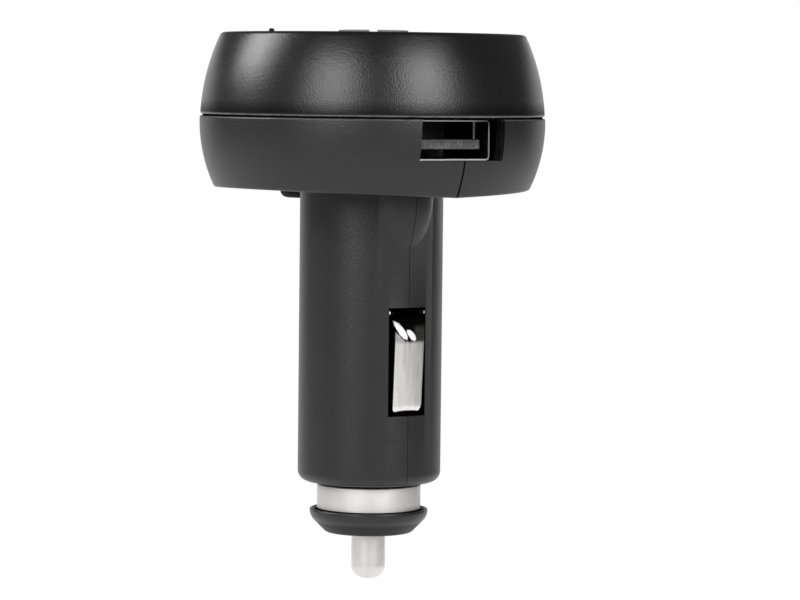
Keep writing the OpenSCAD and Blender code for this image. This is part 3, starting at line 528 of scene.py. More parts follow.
def canFinish():
    finish = Finish("sleeved can")
    sleeveFoot = 4.2
    band = finish.noise(0.6, 2, 0.5, (1, 1, 20))
    shade = finish.ramp(finish.place("Z") - sleeveFoot, (0.0, 0.0), (0.6, 1.0))
    colour = finish.mix(shade, (0.45, 0.46, 0.48), (0.02, 0.045, 0.14))
    return finish.surface(colour, 0.28 + band * 0.1, finish.bump(band, 0.006), metal=1 - shade)


def leadFinish(name, colour):
    finish = Finish(name)
    grit = finish.noise(0.3, 2, 0.5, (1, 1, 6))
    tone = finish.mix(grit, [c * 0.85 for c in colour], [min(1, c * 1.15) for c in colour])
    return finish.surface(tone, 0.42 + grit * 0.1, finish.bump(grit, 0.006))


# A pale flat share on the window's top and the raised disc's edge is a painted highlight, standing
# in for the bright reflection along these edges
rimHighlight = {"foot": 23.46, "radius": 4.9, "tone": 0.22}


def clearFinish(name, colour, rough, ior, grain):
    finish = Finish(name)
    grit = finish.noise(0.5, 2, 0.5)
    tone = finish.mix(grit, [c * 0.97 for c in colour], colour)
    normal = finish.bump(grit, grain)
    # painted highlight: a pale flat share on the top, outside the raised disc's middle
    rimHighlightShare = above(finish.place("Z"), rimHighlight["foot"], 0.04)
    rimHighlightShare = rimHighlightShare * above(finish.radius(), rimHighlight["radius"], 0.06)
    return finish.surface(tone, rough + grit * 0.04, normal, rimHighlightShare, rimHighlight["tone"], clear=1.0,
                          ior=ior)


# Sheet that is bright at its lip and at a pressed edge in its side, and painted dark behind its
# lip as painted shade
sheetShade = {"lip": -20.92, "edge": -17.2, "edgeHalf": 0.16, "edgeSide": 6.1, "edgeFoot": 8.2}


def shellFinish():
    finish = Finish("tin plated sheet")
    marks = finish.noise(0.15, 3, 0.55, (1, 12, 1))
    depth = finish.place("Y")
    edge = 1 - above((depth - sheetShade["edge"]).size(), sheetShade["edgeHalf"], 0.05)
    edge = edge * above(finish.place("X"), sheetShade["edgeSide"], 0.1)
    edge = edge * above(finish.place("Z"), sheetShade["edgeFoot"], 0.1)
    # painted shade behind the lip, except along the pressed edge
    share = above(depth, sheetShade["lip"], 0.1) * (1 - edge)
    tone = finish.mix(marks, (0.80, 0.80, 0.78), (0.95, 0.95, 0.93))
    rough = 0.5 - share * 0.05 + (marks - 0.5) * 0.1
    return finish.surface(finish.mix(share, tone, (0.05, 0.05, 0.05)), rough,
                          finish.bump(marks, 0.003), metal=1.0)


# Bright plate on a pressed strip, painted dark above the crest of its bend as a painted reflection
# of the dark head and slot, where two painted highlight spots and painted glints on the tips of
# its ears are bright; a grey patch to the right is painted reflection and the tail is painted
# shade. A spot is an oval from one end to the other, (across, height), with half its width
leafPaintedLight = {
    "crest": -21.15, "leftOf": -1.0, "rise": 0.95, "earAt": 2.86, "tail": -31.7,
    "paleRightOf": 0.75, "paleBelow": -19.1,
    "spots": [((-2.5, -18.2), (-0.75, -20.85), 0.5), ((-0.62, -19.5), (0.72, -21.0), 0.46)],
}


def leafFinish():
    finish = Finish("nickel on pressed strip")
    streaks = finish.noise(0.4, 3, 0.55, (1, 1, 18))
    broad = finish.noise(1.5, 2, 0.5, (1, 1, 3))
    blur = finish.noise(0.35, 3, 0.6)
    y = finish.place("Y")
    x = finish.place("X") * y.math("SIGN", y) * -1  # to the right as seen from outside
    z = finish.place("Z") + (blur - 0.5) * 0.4
    marks = leafPaintedLight
    crest = x.math("MAXIMUM", marks["leftOf"] - x, 0.0) * marks["rise"] + marks["crest"]
    upper = above(z - crest, 0.0, 0.3)

    def spot(first, last, half):
        dx, dz = last[0] - first[0], last[1] - first[1]
        length = math.hypot(dx, dz)
        across = x - (first[0] + last[0]) / 2
        up = z - (first[1] + last[1]) / 2
        along = (across * (dx / length) + up * (dz / length)) / (length / 2)
        beside = (across * (-dz / length) + up * (dx / length)) / half
        return 1 - above(along * along + beside * beside, 1.0, 0.35)

    # painted glints on the tips of the ears, then the painted highlight spots
    paintedGlints = above(x.size(), marks["earAt"], 0.06)
    for first, last, half in marks["spots"]:
        paintedGlints = paintedGlints.math("MAXIMUM", paintedGlints, spot(first, last, half))
    # a grey painted reflection to the right, inside the painted dark above the crest
    pale = above(x, marks["paleRightOf"], 0.6) * (1 - above(z, marks["paleBelow"], 0.8))
    dark = finish.mix(pale, (0.012, 0.012, 0.012), (0.17, 0.17, 0.165))
    tone = finish.mix(finish.ramp(streaks * 0.7 + broad * 0.3, (0.35, 0.0), (0.65, 1.0)),
                      (0.80, 0.79, 0.77), (0.97, 0.96, 0.94))
    tone = finish.mix(upper * paintedGlints, tone, (1.0, 1.0, 1.0))
    # painted reflection, dark above the crest, and painted shade on the tail below
    share = upper * (1 - paintedGlints) + (1 - above(z, marks["tail"], 0.2))
    rough = 0.22 + (streaks - 0.5) * 0.2 + upper * paintedGlints * 0.45
    return finish.surface(finish.mix(share, tone, dark), rough, finish.bump(streaks, 0.012),
                          metal=1.0)


# Grey moulding with blotches and small dark marks
def insulatorFinish():
    finish = Finish("insulator plastic")
    blotches = finish.noise(0.55, 4, 0.65, (1.6, 1, 1))
    specks = finish.ramp(finish.noise(0.3, 3, 0.7, offset=(7, 3, 1)), (0.42, 0.35), (0.6, 1.0))
    shade = finish.ramp(blotches, (0.3, 0.0), (0.7, 1.0))
    low = finish.mix(shade, (0.12, 0.12, 0.12), (0.38, 0.38, 0.38))
    high = finish.mix(shade, (0.05, 0.05, 0.051), (0.15, 0.15, 0.15))
    # paler below about 7.45 mm and darker above
    tone = finish.mix(above(finish.place("Z"), 7.45, 0.9), low, high)
    colour = finish.mix(specks, (0.045, 0.045, 0.046), tone)
    height = blotches * 0.6 + specks * 0.4
    return finish.surface(colour, 0.45 + blotches * 0.15, finish.bump(height, 0.02))


materials.update({
    "shell": shellFinish(),
    "leaf": leafFinish(),
    "insulator": insulatorFinish(),
    "board": boardFinish(),
    "ferrite": ferriteFinish(),
    "can": canFinish(),
    "leadBlack": leadFinish("black lead", (0.015, 0.015, 0.016)),
    "leadRed": leadFinish("red lead", (0.42, 0.02, 0.012)),
    "window": clearFinish("smoked window", (0.62, 0.64, 0.66), 0.12, 1.49, 0.002),
    "led": clearFinish("clear epoxy", (0.86, 0.83, 0.66), 0.1, 1.5, 0.001),
    "glass": clearFinish("fuse glass", (0.93, 0.97, 0.97), 0.0, 1.5, 0.0005),
})
print("materials made:", len(materials))

# Camera, lamps and stage
shot = {"place": (-0.2708, -0.4334, 0.0162), "turn": -32.483, "dip": 3.576, "roll": 0.62,
        "lens": 156.2}
camera = bpy.data.objects.new("camera", bpy.data.cameras.new("camera"))
camera.data.lens = shot["lens"]
camera.data.sensor_width = 36
camera.data.clip_start = 0.01
camera.matrix_world = (Matrix.Translation(shot["place"])
                       @ Matrix.Rotation(math.radians(shot["turn"]), 4, "Z")
                       @ Matrix.Rotation(math.radians(90 - shot["dip"]), 4, "X")
                       @ Matrix.Rotation(math.radians(shot["roll"]), 4, "Z"))
bpy.context.scene.collection.objects.link(camera)
bpy.context.scene.camera = camera
bpy.context.scene.view_settings.view_transform = "Standard"

studio = {
    "aim": (0, 0, 0.008), "distance": 1.1, "turn": -32.0,
    # degrees round from the camera, degrees up, width and height in metres, watts
    "lamps": [(-98, 30.5, 0.45, 0.52, 5.8),
              (-27.8, 20.5, 0.53, 0.56, 5.8),
              (36.5, 21.5, 0.55, 0.58, 6.6)],
    "surround": 0.155, "floor": -0.2, "sheet": 1.2, "sheetHeight": 0.42, "sheetHalf": 45,
    "floorShift": -0.3, "floorMargin": 0.06,
}
for i, (around, rise, width, height, power) in enumerate(studio["lamps"]):
    lamp = bpy.data.objects.new(f"softbox{i + 1}", bpy.data.lights.new(f"softbox{i + 1}", "AREA"))
    lamp.data.shape = "RECTANGLE"
    lamp.data.size = width
    lamp.data.size_y = height
    lamp.data.energy = power
    a = math.radians(studio["turn"] - 90 + around)
    b = math.radians(rise)
    offset = Vector((math.cos(a) * math.cos(b), math.sin(a) * math.cos(b), math.sin(b)))
    lamp.location = Vector(studio["aim"]) + offset * studio["distance"]
    lamp.rotation_euler = offset.to_track_quat("Z", "Y").to_euler()
    bpy.context.scene.collection.objects.link(lamp)


# White where the camera, gloss or glass sees it, and a plain pale surface to all other light
def stageFinish(name):
    finish = Finish(name)
    seen = finish.add("ShaderNodeLightPath", output="Is Camera Ray")
    gloss = finish.add("ShaderNodeLightPath", output="Is Glossy Ray")
    through = finish.add("ShaderNodeLightPath", output="Is Transmission Ray")
    share = seen.math("MAXIMUM", seen, seen.math("MAXIMUM", gloss, through))
    plain = finish.add("ShaderNodeBsdfDiffuse", {}, {"Color": (0.8, 0.8, 0.8, 1)})
    white = finish.add("ShaderNodeEmission", {}, {"Color": (1, 1, 1, 1), "Strength": 1.0})
    both = finish.add("ShaderNodeMixShader", {}, {0: share, 1: plain, 2: white})
    out = finish.tree.nodes.new("ShaderNodeOutputMaterial")
    finish.tree.links.new(both.socket, out.inputs["Surface"])
    return finish.material


def sheetBehind():
    count = 48
    radius = studio["sheet"] / mm
    low = studio["floor"] / mm
    high = low + studio["sheetHeight"] / mm
    points = []
    for i in range(count + 1):
        a = math.radians(studio["turn"] + 90 + studio["sheetHalf"] * (2 * i / count - 1))
        for z in (low, high):
            points.append((radius * math.cos(a), radius * math.sin(a), z))
    faces = [(2 * i, 2 * i + 2, 2 * i + 3, 2 * i + 1) for i in range(count)]
    return newPiece("backdrop", points, faces)


a = math.radians(studio["turn"])
middle = [c * studio["floorShift"] / mm for c in (math.cos(a), math.sin(a))]
reach = (studio["sheet"] + studio["floorMargin"]) / mm
rim = [(x, y, studio["floor"] / mm) for x, y in arc(middle, reach, 0, 357, 119)]
floor = newPiece("floor", rim, [tuple(range(len(rim)))])
for sheet in (floor, sheetBehind()):
    sheet.data.materials.append(stageFinish(sheet.name + " white"))

world = bpy.data.worlds.new("studio")
bpy.context.scene.world = world
world.use_nodes = True
tree = world.node_tree
tree.nodes.clear()
rays = tree.nodes.new("ShaderNodeLightPath")
blend = tree.nodes.new("ShaderNodeMixShader")
tree.links.new(rays.outputs["Is Camera Ray"], blend.inputs[0])
for i, level in ((1, studio["surround"]), (2, 1.0)):  # what lights the object, what is seen
    shade = tree.nodes.new("ShaderNodeBackground")
    shade.inputs["Color"].default_value = (level, level, level, 1)
    tree.links.new(shade.outputs[0], blend.inputs[i])
tree.links.new(blend.outputs[0], tree.nodes.new("ShaderNodeOutputWorld").inputs["Surface"])
print("camera, lamps and stage made")

# Housing: the lower half of the head and the barrel, in two halves
head = {"radius": 25.4, "belt": 10.5, "bow": 22.5, "seam": 11.2, "wall": 2.0, "floorWall": 2.0,
        "draft": 2.1, "rim": 0.5, "topEdge": 0.3, "steps": 288}
barrel = {"radius": 10.55, "length": 42.5, "bore": 8.95, "edge": 1.6, "lip": 1.6, "steps": 192}
gusset = {"radius": 5.2, "at": 7.15, "bow": 16.5}
parting = {"width": 0.3, "depth": 0.3, "barrelWidth": 0.08, "barrelDepth": 0.1}
socket = {"half": 7.0, "sill": 5.3, "mouth": 20.9, "back": 19.9, "top": 11.02,
          "rib": (4.75, 5.95)}
slots = {"half": 3.15, "top": -16.3, "bottom": -32.1, "roomHalf": 2.75, "tail": 2.3,
         "depth": 8.0, "roomDepth": 5.9, "leafHalf": 2.6, "leafDepth": 5.85, "rise": 1.1}
contact = {"eyeAt": 6.6, "eyeZ": -13.1, "eye": 0.7, "eyeHalf": 3.3, "width": 4.9,
           "thick": 0.45, "webTop": -12.4, "webThick": 2.3}
screw = {"at": 16.675, "post": 4.3, "postTop": 7.0, "well": 2.6, "seat": 4.0, "hole": 1.25}
screwSpot = (0, screw["at"])
sleeve = {"radius": 7.65, "bore": 4.15, "end": -48.55, "neck": 6.35, "foot": -47.2,
          "bandFoot": -46.45, "bandTop": -43.05, "step": 0.1, "stepTop": -42.95, "flange": 8.8,
          "flangeFoot": -40.9, "top": -39.7}
chamber = {"radius": 3.475, "lowWeb": -39.65, "web": 2.0, "middle": -25.0, "middleThick": 1.2,
           "topWeb": -5.1, "lead": 1.2}
posts = {"ring": 19.25, "turn": 50, "radius": 1.9, "clamp": 1.5, "boardTop": 12.62}


# The rounded corner between a line through (0, 0) of slope k and the bow's circle
def rimFillet(k, bowCentre, bow, radius, steps=5):
    length = math.hypot(1, k)
    along = Vector((1, k)) / length
    across = Vector((-k, 1)) / length
    c = Vector(bowCentre)
    # the fillet's centre lies radius above the line and bow - radius from the bow's centre
    h = radius - c.dot(across)
    run = c.dot(along) + math.sqrt((bow - radius) ** 2 - h * h)
    middle = along * run + across * radius
    foot = middle - across * radius
    side = c + (middle - c).normalized() * bow
    start = math.degrees(math.atan2(foot.y - middle.y, foot.x - middle.x))
    end = math.degrees(math.atan2(side.y - middle.y, side.x - middle.x))
    return arc(middle, radius, start, end, steps), math.degrees(
        math.atan2(side.y - c.y, side.x - c.x))


def bowlOutline(angle):
    k = math.tan(math.radians(head["draft"])) * abs(math.cos(math.radians(angle)))
    centre = (head["radius"] - head["bow"], head["belt"])
    rim, turn = rimFillet(k, centre, head["bow"], head["rim"])
    high = math.degrees(math.asin((head["seam"] - head["topEdge"] - head["belt"]) / head["bow"]))
    inner = [(r, r * k) for r in (4, 9, 14, 18)]
    side = arc(centre, head["bow"], turn, high, 40)
    edge = side[-1][0] - head["topEdge"]
    top = arc((edge, head["seam"] - head["topEdge"]), head["topEdge"], 12, 90, 3)
    return [(0, 0)] + inner + rim + side[1:] + top + [(0, head["seam"])]


def barrelOutline(inset):
    r = barrel["radius"] - inset
    z = -barrel["length"] + inset
    return rounded([(0, z), (r, z, barrel["edge"]), (r, 1), (0, 1)], steps=10)


def gussetOutline(inset):
    r = gusset["bow"] - inset
    m = gusset["radius"] - gusset["bow"]
    low = -math.degrees(math.acos(-m / r))
    return [(0, 1)] + arc((m, 0), r, low, 0, 32) + [(m + r, 1)]


def rightHalf(name):
    return block(name, (0, -wide, -wide), (wide, wide, wide))


def aboveUnderside(name, lift):
    piece = block(name, (-wide, -wide, 0), (wide, wide, wide))
    return shifted(turned(piece, -head["draft"], "Y"), z=lift)


def makeHousing():
    outside = lathe("housingRight", bowlOutline, head["steps"])
    join(outside, lathe("barrelOutside", barrelOutline(0), barrel["steps"]),
         lathe("gussetOutside", gussetOutline(0), 128, (0, -gusset["at"])))

    hollowBow = head["bow"] - head["wall"]
    centre = (head["radius"] - head["bow"], head["belt"])
    low = -math.degrees(math.asin(head["belt"] / hollowBow))
    hollow = lathe("hollow", [(0, 0)] + arc(centre, hollowBow, low, 0, 24)
                   + [(head["radius"] - head["wall"], 20), (0, 20)], 128)
    keep(hollow, aboveUnderside("hollowFloor", head["floorWall"]))
    bore = rod("bore", barrel["bore"], -barrel["length"] + barrel["lip"], 5, steps=128)
    cut(outside, hollow, bore)

    webs = []
    for z, t in ((chamber["lowWeb"], chamber["web"]), (chamber["middle"], chamber["middleThick"]),
                 (contact["webTop"] - contact["webThick"], contact["webThick"]),
                 (chamber["topWeb"], chamber["web"])):
        webs.append(rod("web", barrel["bore"] + 0.4, z, z + t))
    risers = rod("riser", screw["post"], 0, screw["postTop"], screwSpot, 64)
    extra = []
    for side in (-1, 1):
        a = math.radians(side * posts["turn"])
        extra.append(rod("post", posts["radius"], 0, socket["top"],
                         (posts["ring"] * math.cos(a), posts["ring"] * math.sin(a)), 48))
    extra.append(block("rib", (socket["rib"][0], -socket["mouth"], 0),
                       (socket["rib"][1], -barrel["radius"], socket["sill"])))
    join(risers, *extra)
    keep(risers, aboveUnderside("risersFloor", head["floorWall"] / 2))
    join(outside, risers, *webs)
    keep(outside, rightHalf("rightHalf"))

    tools = [
        rod("sleeveHole", sleeve["radius"] + 0.05, -barrel["length"] - 1, -barrel["length"] + 2.6,
            steps=160),
        rod("chamber", chamber["radius"], chamber["lowWeb"] - 1, contact["webTop"] + 1),
        rod("leadHole", chamber["lead"], chamber["topWeb"] - 1, chamber["topWeb"] + 3, steps=48),
        rod("groundHole", chamber["lead"], chamber["topWeb"] - 1, chamber["topWeb"] + 3,
            (0, contact["eyeAt"]), 48),
        rod("screwWell", screw["well"], -1, screw["seat"], screwSpot),
        rod("screwHole", screw["hole"], 0, screw["postTop"] + 1, screwSpot, 48),
        block("socketNotch", (-socket["half"], -wide, socket["sill"]),
              (socket["half"], -socket["back"], wide)),
    ]
    eyeHalf = contact["eyeHalf"] + 0.05
    eye = contact["eye"] + 0.05
    for turn in (0, 180):
        parts = [
            block("slot", (-slots["half"], -barrel["radius"] - 1, slots["bottom"]),
                  (slots["half"], -slots["depth"], slots["top"])),
            block("room", (-slots["roomHalf"], -barrel["bore"], slots["bottom"] - slots["tail"]),
                  (slots["roomHalf"], -slots["roomDepth"], contact["eyeZ"])),
            turned(rod("eye", eye, -eyeHalf, eyeHalf), 90, "Y"),
            block("eyeTop", (-eyeHalf, -eye, 0), (eyeHalf, eye, slots["rise"])),
            block("leafWay", (-slots["leafHalf"], -barrel["bore"],
                              contact["eyeZ"] - contact["webThick"]),
                  (slots["leafHalf"], -slots["leafDepth"], contact["eyeZ"] + slots["rise"])),
        ]
        for p in parts[2:4]:
            shifted(p, y=-contact["eyeAt"], z=contact["eyeZ"])
        tools += [turned(p, turn) for p in parts]

    headLine = block("headLine", (-1, -wide, 0.05),
                     (parting["width"] / 2, wide, head["seam"] + 0.5))
    inset = parting["depth"]
    low = -math.degrees(math.asin((head["belt"] - inset) / (head["bow"] - inset)))
    inner = lathe("innerBowl", [(0, inset)] + arc(centre, head["bow"] - inset, low, 5, 40)
                  + [(0, 12.5)], 96)
    cut(headLine, inner, lathe("innerBarrel", barrelOutline(inset), 96),
        lathe("innerGusset", gussetOutline(inset), 96, (0, -gusset["at"])))
    inset = parting["barrelDepth"]
    barrelLine = block("barrelLine", (-1, -14, -wide), (parting["barrelWidth"] / 2, 14, 0.1))
    cut(barrelLine, lathe("innerBarrel", barrelOutline(inset), 192),
        lathe("innerGusset", gussetOutline(inset), 128, (0, -gusset["at"])))
    cut(outside, *tools, headLine, barrelLine)
    left = mirrored(outside, "housingLeft", "x")
    for piece, node in ((outside, "right_housing"), (left, "left_housing")):
        finished(piece, "housing", materials["housing"], node)


makeHousing()
print("housing made")

# Cover: the upper half of the head
cover = {"bow": 31.5, "centre": -6.15, "belt": 9.9, "top": 23.4, "edge": 0.8, "foot": 11.4,
         "footEdge": 0.35, "wall": 2.0, "innerTop": 21.4, "lipOut": 23.25, "lipIn": 22.25,
         "lipEnd": 9.3, "ringOut": 24.97, "window": 9.05, "lens": 0.45, "lensAt": 17.3,
         "innerFoot": 12.5, "boss": 2.9, "bossTop": 22.5, "drill": 17, "gapHalf": 7.4,
         "gapFoot": 8.6}


def coverBow(inset, foot, top, steps):
    c = (cover["centre"], cover["belt"])
    r = cover["bow"] - inset
    edge = cover["edge"]
    x = c[0] + math.sqrt((r - edge) ** 2 - (top - edge - c[1]) ** 2)
    turn = math.degrees(math.atan2(top - edge - c[1], x - c[0]))
    start = math.degrees(math.asin((foot - c[1]) / r))
    return arc(c, r, start, turn, steps) + arc((x, top - edge), edge, turn, 90, 8)[1:]


def makeCover():
    outer = coverBow(0, cover["foot"] + cover["footEdge"], cover["top"], 48)
    footX = outer[0][0] - cover["footEdge"]
    foot = arc((footX, cover["foot"] + cover["footEdge"]), cover["footEdge"], -90, -2, 4)
    inner = coverBow(cover["wall"], cover["innerFoot"], cover["innerTop"], 24)
    seam = head["seam"]
    outline = [(0, cover["innerTop"])] + inner[::-1] + [
        (cover["lipIn"], cover["innerFoot"]), (cover["lipIn"], cover["lipEnd"]),
        (cover["lipOut"], cover["lipEnd"]), (cover["lipOut"], seam), (cover["ringOut"], seam),
        (cover["ringOut"], cover["foot"])] + foot + outer[1:] + [(0, cover["top"])]
    piece = lathe("topCover", outline, head["steps"])
    studs = [rod("screwBoss", cover["boss"], screw["postTop"] + 0.05, cover["bossTop"],
                 screwSpot, 64)]
    for x in (-1, 1):
        for y in (-1, 1):
            a = math.radians(posts["turn"])
            spot = (x * posts["ring"] * math.cos(a), y * posts["ring"] * math.sin(a))
            studs.append(rod("clamp", posts["clamp"], posts["boardTop"] + 0.05,
                             cover["bossTop"], spot, 48))
    join(piece, *studs)
    cut(piece,
        block("lipGap", (-cover["gapHalf"], -wide, cover["gapFoot"]),
              (cover["gapHalf"], -socket["back"], seam)),
        rod("screwBore", screw["hole"], screw["postTop"], cover["drill"], screwSpot, 48),
        rod("windowHole", cover["window"], 20, 30, steps=192),
        rod("lensHole", cover["lens"], 20, 30, (-cover["lensAt"], 0), 48))
    finished(piece, "housing", materials["cover"], "top_cover")


makeCover()
print("cover made")

# Top face: window and indicator lens
window = {"radius": 9.0, "top": 23.5, "edge": 0.08, "foot": 21.4, "flange": 10.5,
          "flangeFoot": 20.2, "dial": 5.1, "dialTop": 23.9, "dialEdge": 0.12, "grooveHalf": 0.6,
          "grooveTurn": -32}
piece = lathe("displayWindow", rounded([
    (0, window["flangeFoot"]), (window["flange"], window["flangeFoot"]),
    (window["flange"], window["foot"]), (window["radius"], window["foot"]),
    (window["radius"], window["top"], window["edge"]), (0, window["top"])]), 192)
dial = lathe("dial", rounded([
    (0, window["top"] - 0.4), (window["dial"], window["top"] - 0.4),
    (window["dial"], window["dialTop"], window["dialEdge"]), (0, window["dialTop"])]), 192)
groove = block("groove", (-window["grooveHalf"], -20, 20), (window["grooveHalf"], 20, 30))
cut(dial, turned(groove, window["grooveTurn"]))
join(piece, dial)
finished(piece, "housing", materials["window"], "display_window")

lens = {"radius": 0.4, "foot": 13.52, "tip": 23.9, "tipEdge": 0.3, "collar": 1.2,
        "collarFoot": 20.6, "collarTop": 21.4}
piece = lathe("indicatorLens", rounded([
    (0, lens["foot"]), (lens["radius"], lens["foot"]), (lens["radius"], lens["collarFoot"]),
    (lens["collar"], lens["collarFoot"]), (lens["collar"], lens["collarTop"]),
    (lens["radius"], lens["collarTop"]), (lens["radius"], lens["tip"], lens["tipEdge"]),
    (0, lens["tip"])]), 48, (-cover["lensAt"], 0))
finished(piece, "housing", materials["plug"], "indicator_lens")

# Plug over the cover's screw, and the screw
plug = {"radius": 5.025, "down": 1.2, "edge": 1.1, "stem": 1.8, "stemRadius": 2.3}
piece = lathe("undersidePlug", rounded([
    (0, -plug["down"]), (plug["radius"], -plug["down"], plug["edge"]), (plug["radius"], 1),
    (plug["stemRadius"], 1), (plug["stemRadius"], plug["stem"]), (0, plug["stem"])]), 128,
    screwSpot)
below = [aboveUnderside("undersideRight", 0), aboveUnderside("undersideLeft", 0)]
keep(below[0], rightHalf("right"))
place(below[1], Matrix.Diagonal((-1, 1, 1, 1)))
tidyMesh(below[1])
cut(below[1], rightHalf("notLeft"))
stem = rod("stemRoom", plug["stemRadius"], -1, plug["stem"] + 1, screwSpot, 128)
join(below[0], below[1])
cut(below[0], stem)
cut(piece, below[0])
finished(piece, "housing", materials["plug"], "underside_plug")

screwHead = {"radius": 2.3, "foot": 2.5, "seat": 4.0, "thread": 1.2, "core": 0.95,
             "tip": 14.0, "pitch": 0.8, "crossHalf": 1.2, "crossWide": 0.25, "crossTop": 3.3}
outline = [(0, screwHead["foot"]), (screwHead["radius"], screwHead["foot"], 0.6),
           (screwHead["radius"], screwHead["seat"]), (screwHead["core"], screwHead["seat"])]
z = screwHead["seat"] + 0.5
while z < screwHead["tip"] - 1.4:
    outline += [(screwHead["core"], z), (screwHead["thread"], z + 0.3),
                (screwHead["thread"], z + 0.4)]
    z += screwHead["pitch"]
outline += [(screwHead["core"], z), (0.3, screwHead["tip"]), (0, screwHead["tip"])]
piece = lathe("coverScrew", rounded(outline), 48, screwSpot)
bars = []
for turn in (0, 90):
    bar = block("cross", (-screwHead["crossHalf"], -screwHead["crossWide"], 1.5),
                (screwHead["crossHalf"], screwHead["crossWide"], screwHead["crossTop"]))
    bars.append(shifted(turned(bar, turn), y=screw["at"]))
cut(piece, *bars)
finished(piece, "housing", materials["screw"], "cover_screw")
print("top face, plug and screw made")

# Sleeve, nose cap and centre pin
nose = {"end": -50.1, "flat": 6.35, "rim": 8.73, "rimFoot": -47.65, "rimTop": -46.6,
        "seat": -48.6, "bore": 6.4, "pinBore": 2.55, "recess": (8.3, 8.12), "recessFoot": -47.25}
narrow = sleeve["radius"] - sleeve["step"]
piece = lathe("tipSleeve", rounded([
    (sleeve["bore"], sleeve["end"]), (sleeve["neck"], sleeve["end"]),
    (sleeve["neck"], sleeve["foot"]), (sleeve["radius"], sleeve["foot"]),
    (sleeve["radius"], sleeve["bandFoot"]), (sleeve["radius"], sleeve["bandTop"], 0.1),
    (narrow, sleeve["stepTop"]), (narrow, sleeve["flangeFoot"]),
    (sleeve["flange"], sleeve["flangeFoot"]), (sleeve["flange"], sleeve["top"]),
    (sleeve["bore"], sleeve["top"])], steps=4), 192)
finished(piece, "housing", materials["sleeve"], "tip_sleeve")
piece = lathe("noseCap", rounded([
    (nose["pinBore"], nose["end"], 0.2), (nose["flat"], nose["end"], 1.0),
    (nose["rim"], nose["rimFoot"], 2.0), (nose["rim"], nose["rimTop"], 0.2),
    (nose["recess"][0], nose["rimTop"], 0.1), (nose["recess"][1], nose["recessFoot"]),
    (nose["bore"], nose["recessFoot"]),
    (nose["bore"], nose["seat"]), (nose["pinBore"], nose["seat"])], steps=10), 192)
finished(piece, "housing", materials["nose"], "nose_cap")
pin = {"radius": 2.5, "tip": -57.0, "end": 2.0, "head": 4.1, "seat": -48.6, "top": -44.2,
       "cup": -46.2, "cupRadius": 3.225}
piece = lathe("contactPin", rounded([
    (0, pin["tip"]), (pin["radius"], pin["tip"], pin["end"]), (pin["radius"], pin["seat"]),
    (pin["head"], pin["seat"], 0.3), (pin["head"], pin["top"], 0.3),
    (pin["cupRadius"], pin["top"], 0.1), (pin["cupRadius"], pin["cup"]), (0, pin["cup"])],
    steps=10), 128)
finished(piece, "centre_pin", materials["pin"], "contact_pin")
print("nose made")

# Side contacts: bent strips of metal with a slight crown
leaf = {"crest": -21.2, "rampTop": (8.05, -16.4), "face": 11.075, "foot": -31.375,
        "footFace": 10.475, "lean": 0.6, "tail": (7.35, -33.675), "power": 2.4, "crown": 0.42,
        "crownTop": -16.6, "blend": 0.1, "edge": 0.14, "cornerAt": -31.4, "corners": (0.55, 1.4),
        "ear": ((2.2, -10.0, -17.25), (3.05, -8.4, -16.8))}
rampDepth, rampZ = leaf["rampTop"]
ramp = []
for i in range(1, 13):
    share = i / 12
    ramp.append((leaf["face"] - (leaf["face"] - rampDepth) * (1 - share) ** leaf["power"],
                 rampZ + (leaf["crest"] - rampZ) * share))
leaf["path"] = ([(contact["eyeAt"], contact["eyeZ"]), (rampDepth, rampZ, 0.5)] + ramp + [
    (leaf["footFace"], leaf["foot"], 0.9), (leaf["tail"][0], leaf["foot"], 0.4), leaf["tail"]])


# How far out the crowned face lies at x and z, and the lower of it and the strip's own depth
def crownShift(x, z, depth):
    share = max(0, min(1, (z - leaf["crest"]) / (leaf["foot"] - leaf["crest"])))
    face = leaf["face"] + contact["thick"] / 2 - leaf["lean"] * share
    face -= leaf["crown"] * (x / (contact["width"] / 2)) ** 2
    h = max(leaf["blend"] - abs(depth - face), 0) / leaf["blend"]
    return depth - (min(depth, face) - h * h * leaf["blend"] / 4)


def leafSpine():
    corners = rounded(leaf["path"], closed=False, steps=16)
    fine = []
    for a, b in zip(corners, corners[1:]):
        a, b = Vector(a), Vector(b)
        pieces = max(1, int((b - a).length / 0.35))
        fine += [a.lerp(b, i / pieces) for i in range(pieces)]
    return fine + [Vector(corners[-1])]


# The strip draws in where it turns in at its foot, so that its lower corners are round
def cornerCut(at, radius):
    share = max(0, min(1, (radius + leaf["cornerAt"] - at.y) / radius))
    return 0.8 * radius * (1 - math.sqrt(1 - share * share)) if at.x > 8 else 0.8 * radius


# The strip's section: across, outward
def leafSection(width):
    half, thick = width / 2, contact["thick"] / 2
    edge = leaf["edge"]
    outer = []
    for i in range(17):
        outer.append(((half - edge) * (2 * i / 16 - 1), thick))
    rightEnd = [(half - edge + edge * math.sin(a), thick - edge + edge * math.cos(a))
                for a in (0.5, 1.0, 1.5)]
    rightLow = [(half - edge + edge * math.cos(a), -thick + edge - edge * math.sin(a))
                for a in (0.1, 0.6, 1.1)]
    lower = [(x, y - 2 * thick) for x, y in outer[::-1]]
    leftLow = [(-x, y) for x, y in rightLow[::-1]]
    leftEnd = [(-x, y) for x, y in rightEnd[::-1]]
    return outer + rightEnd + rightLow + lower + leftLow + leftEnd


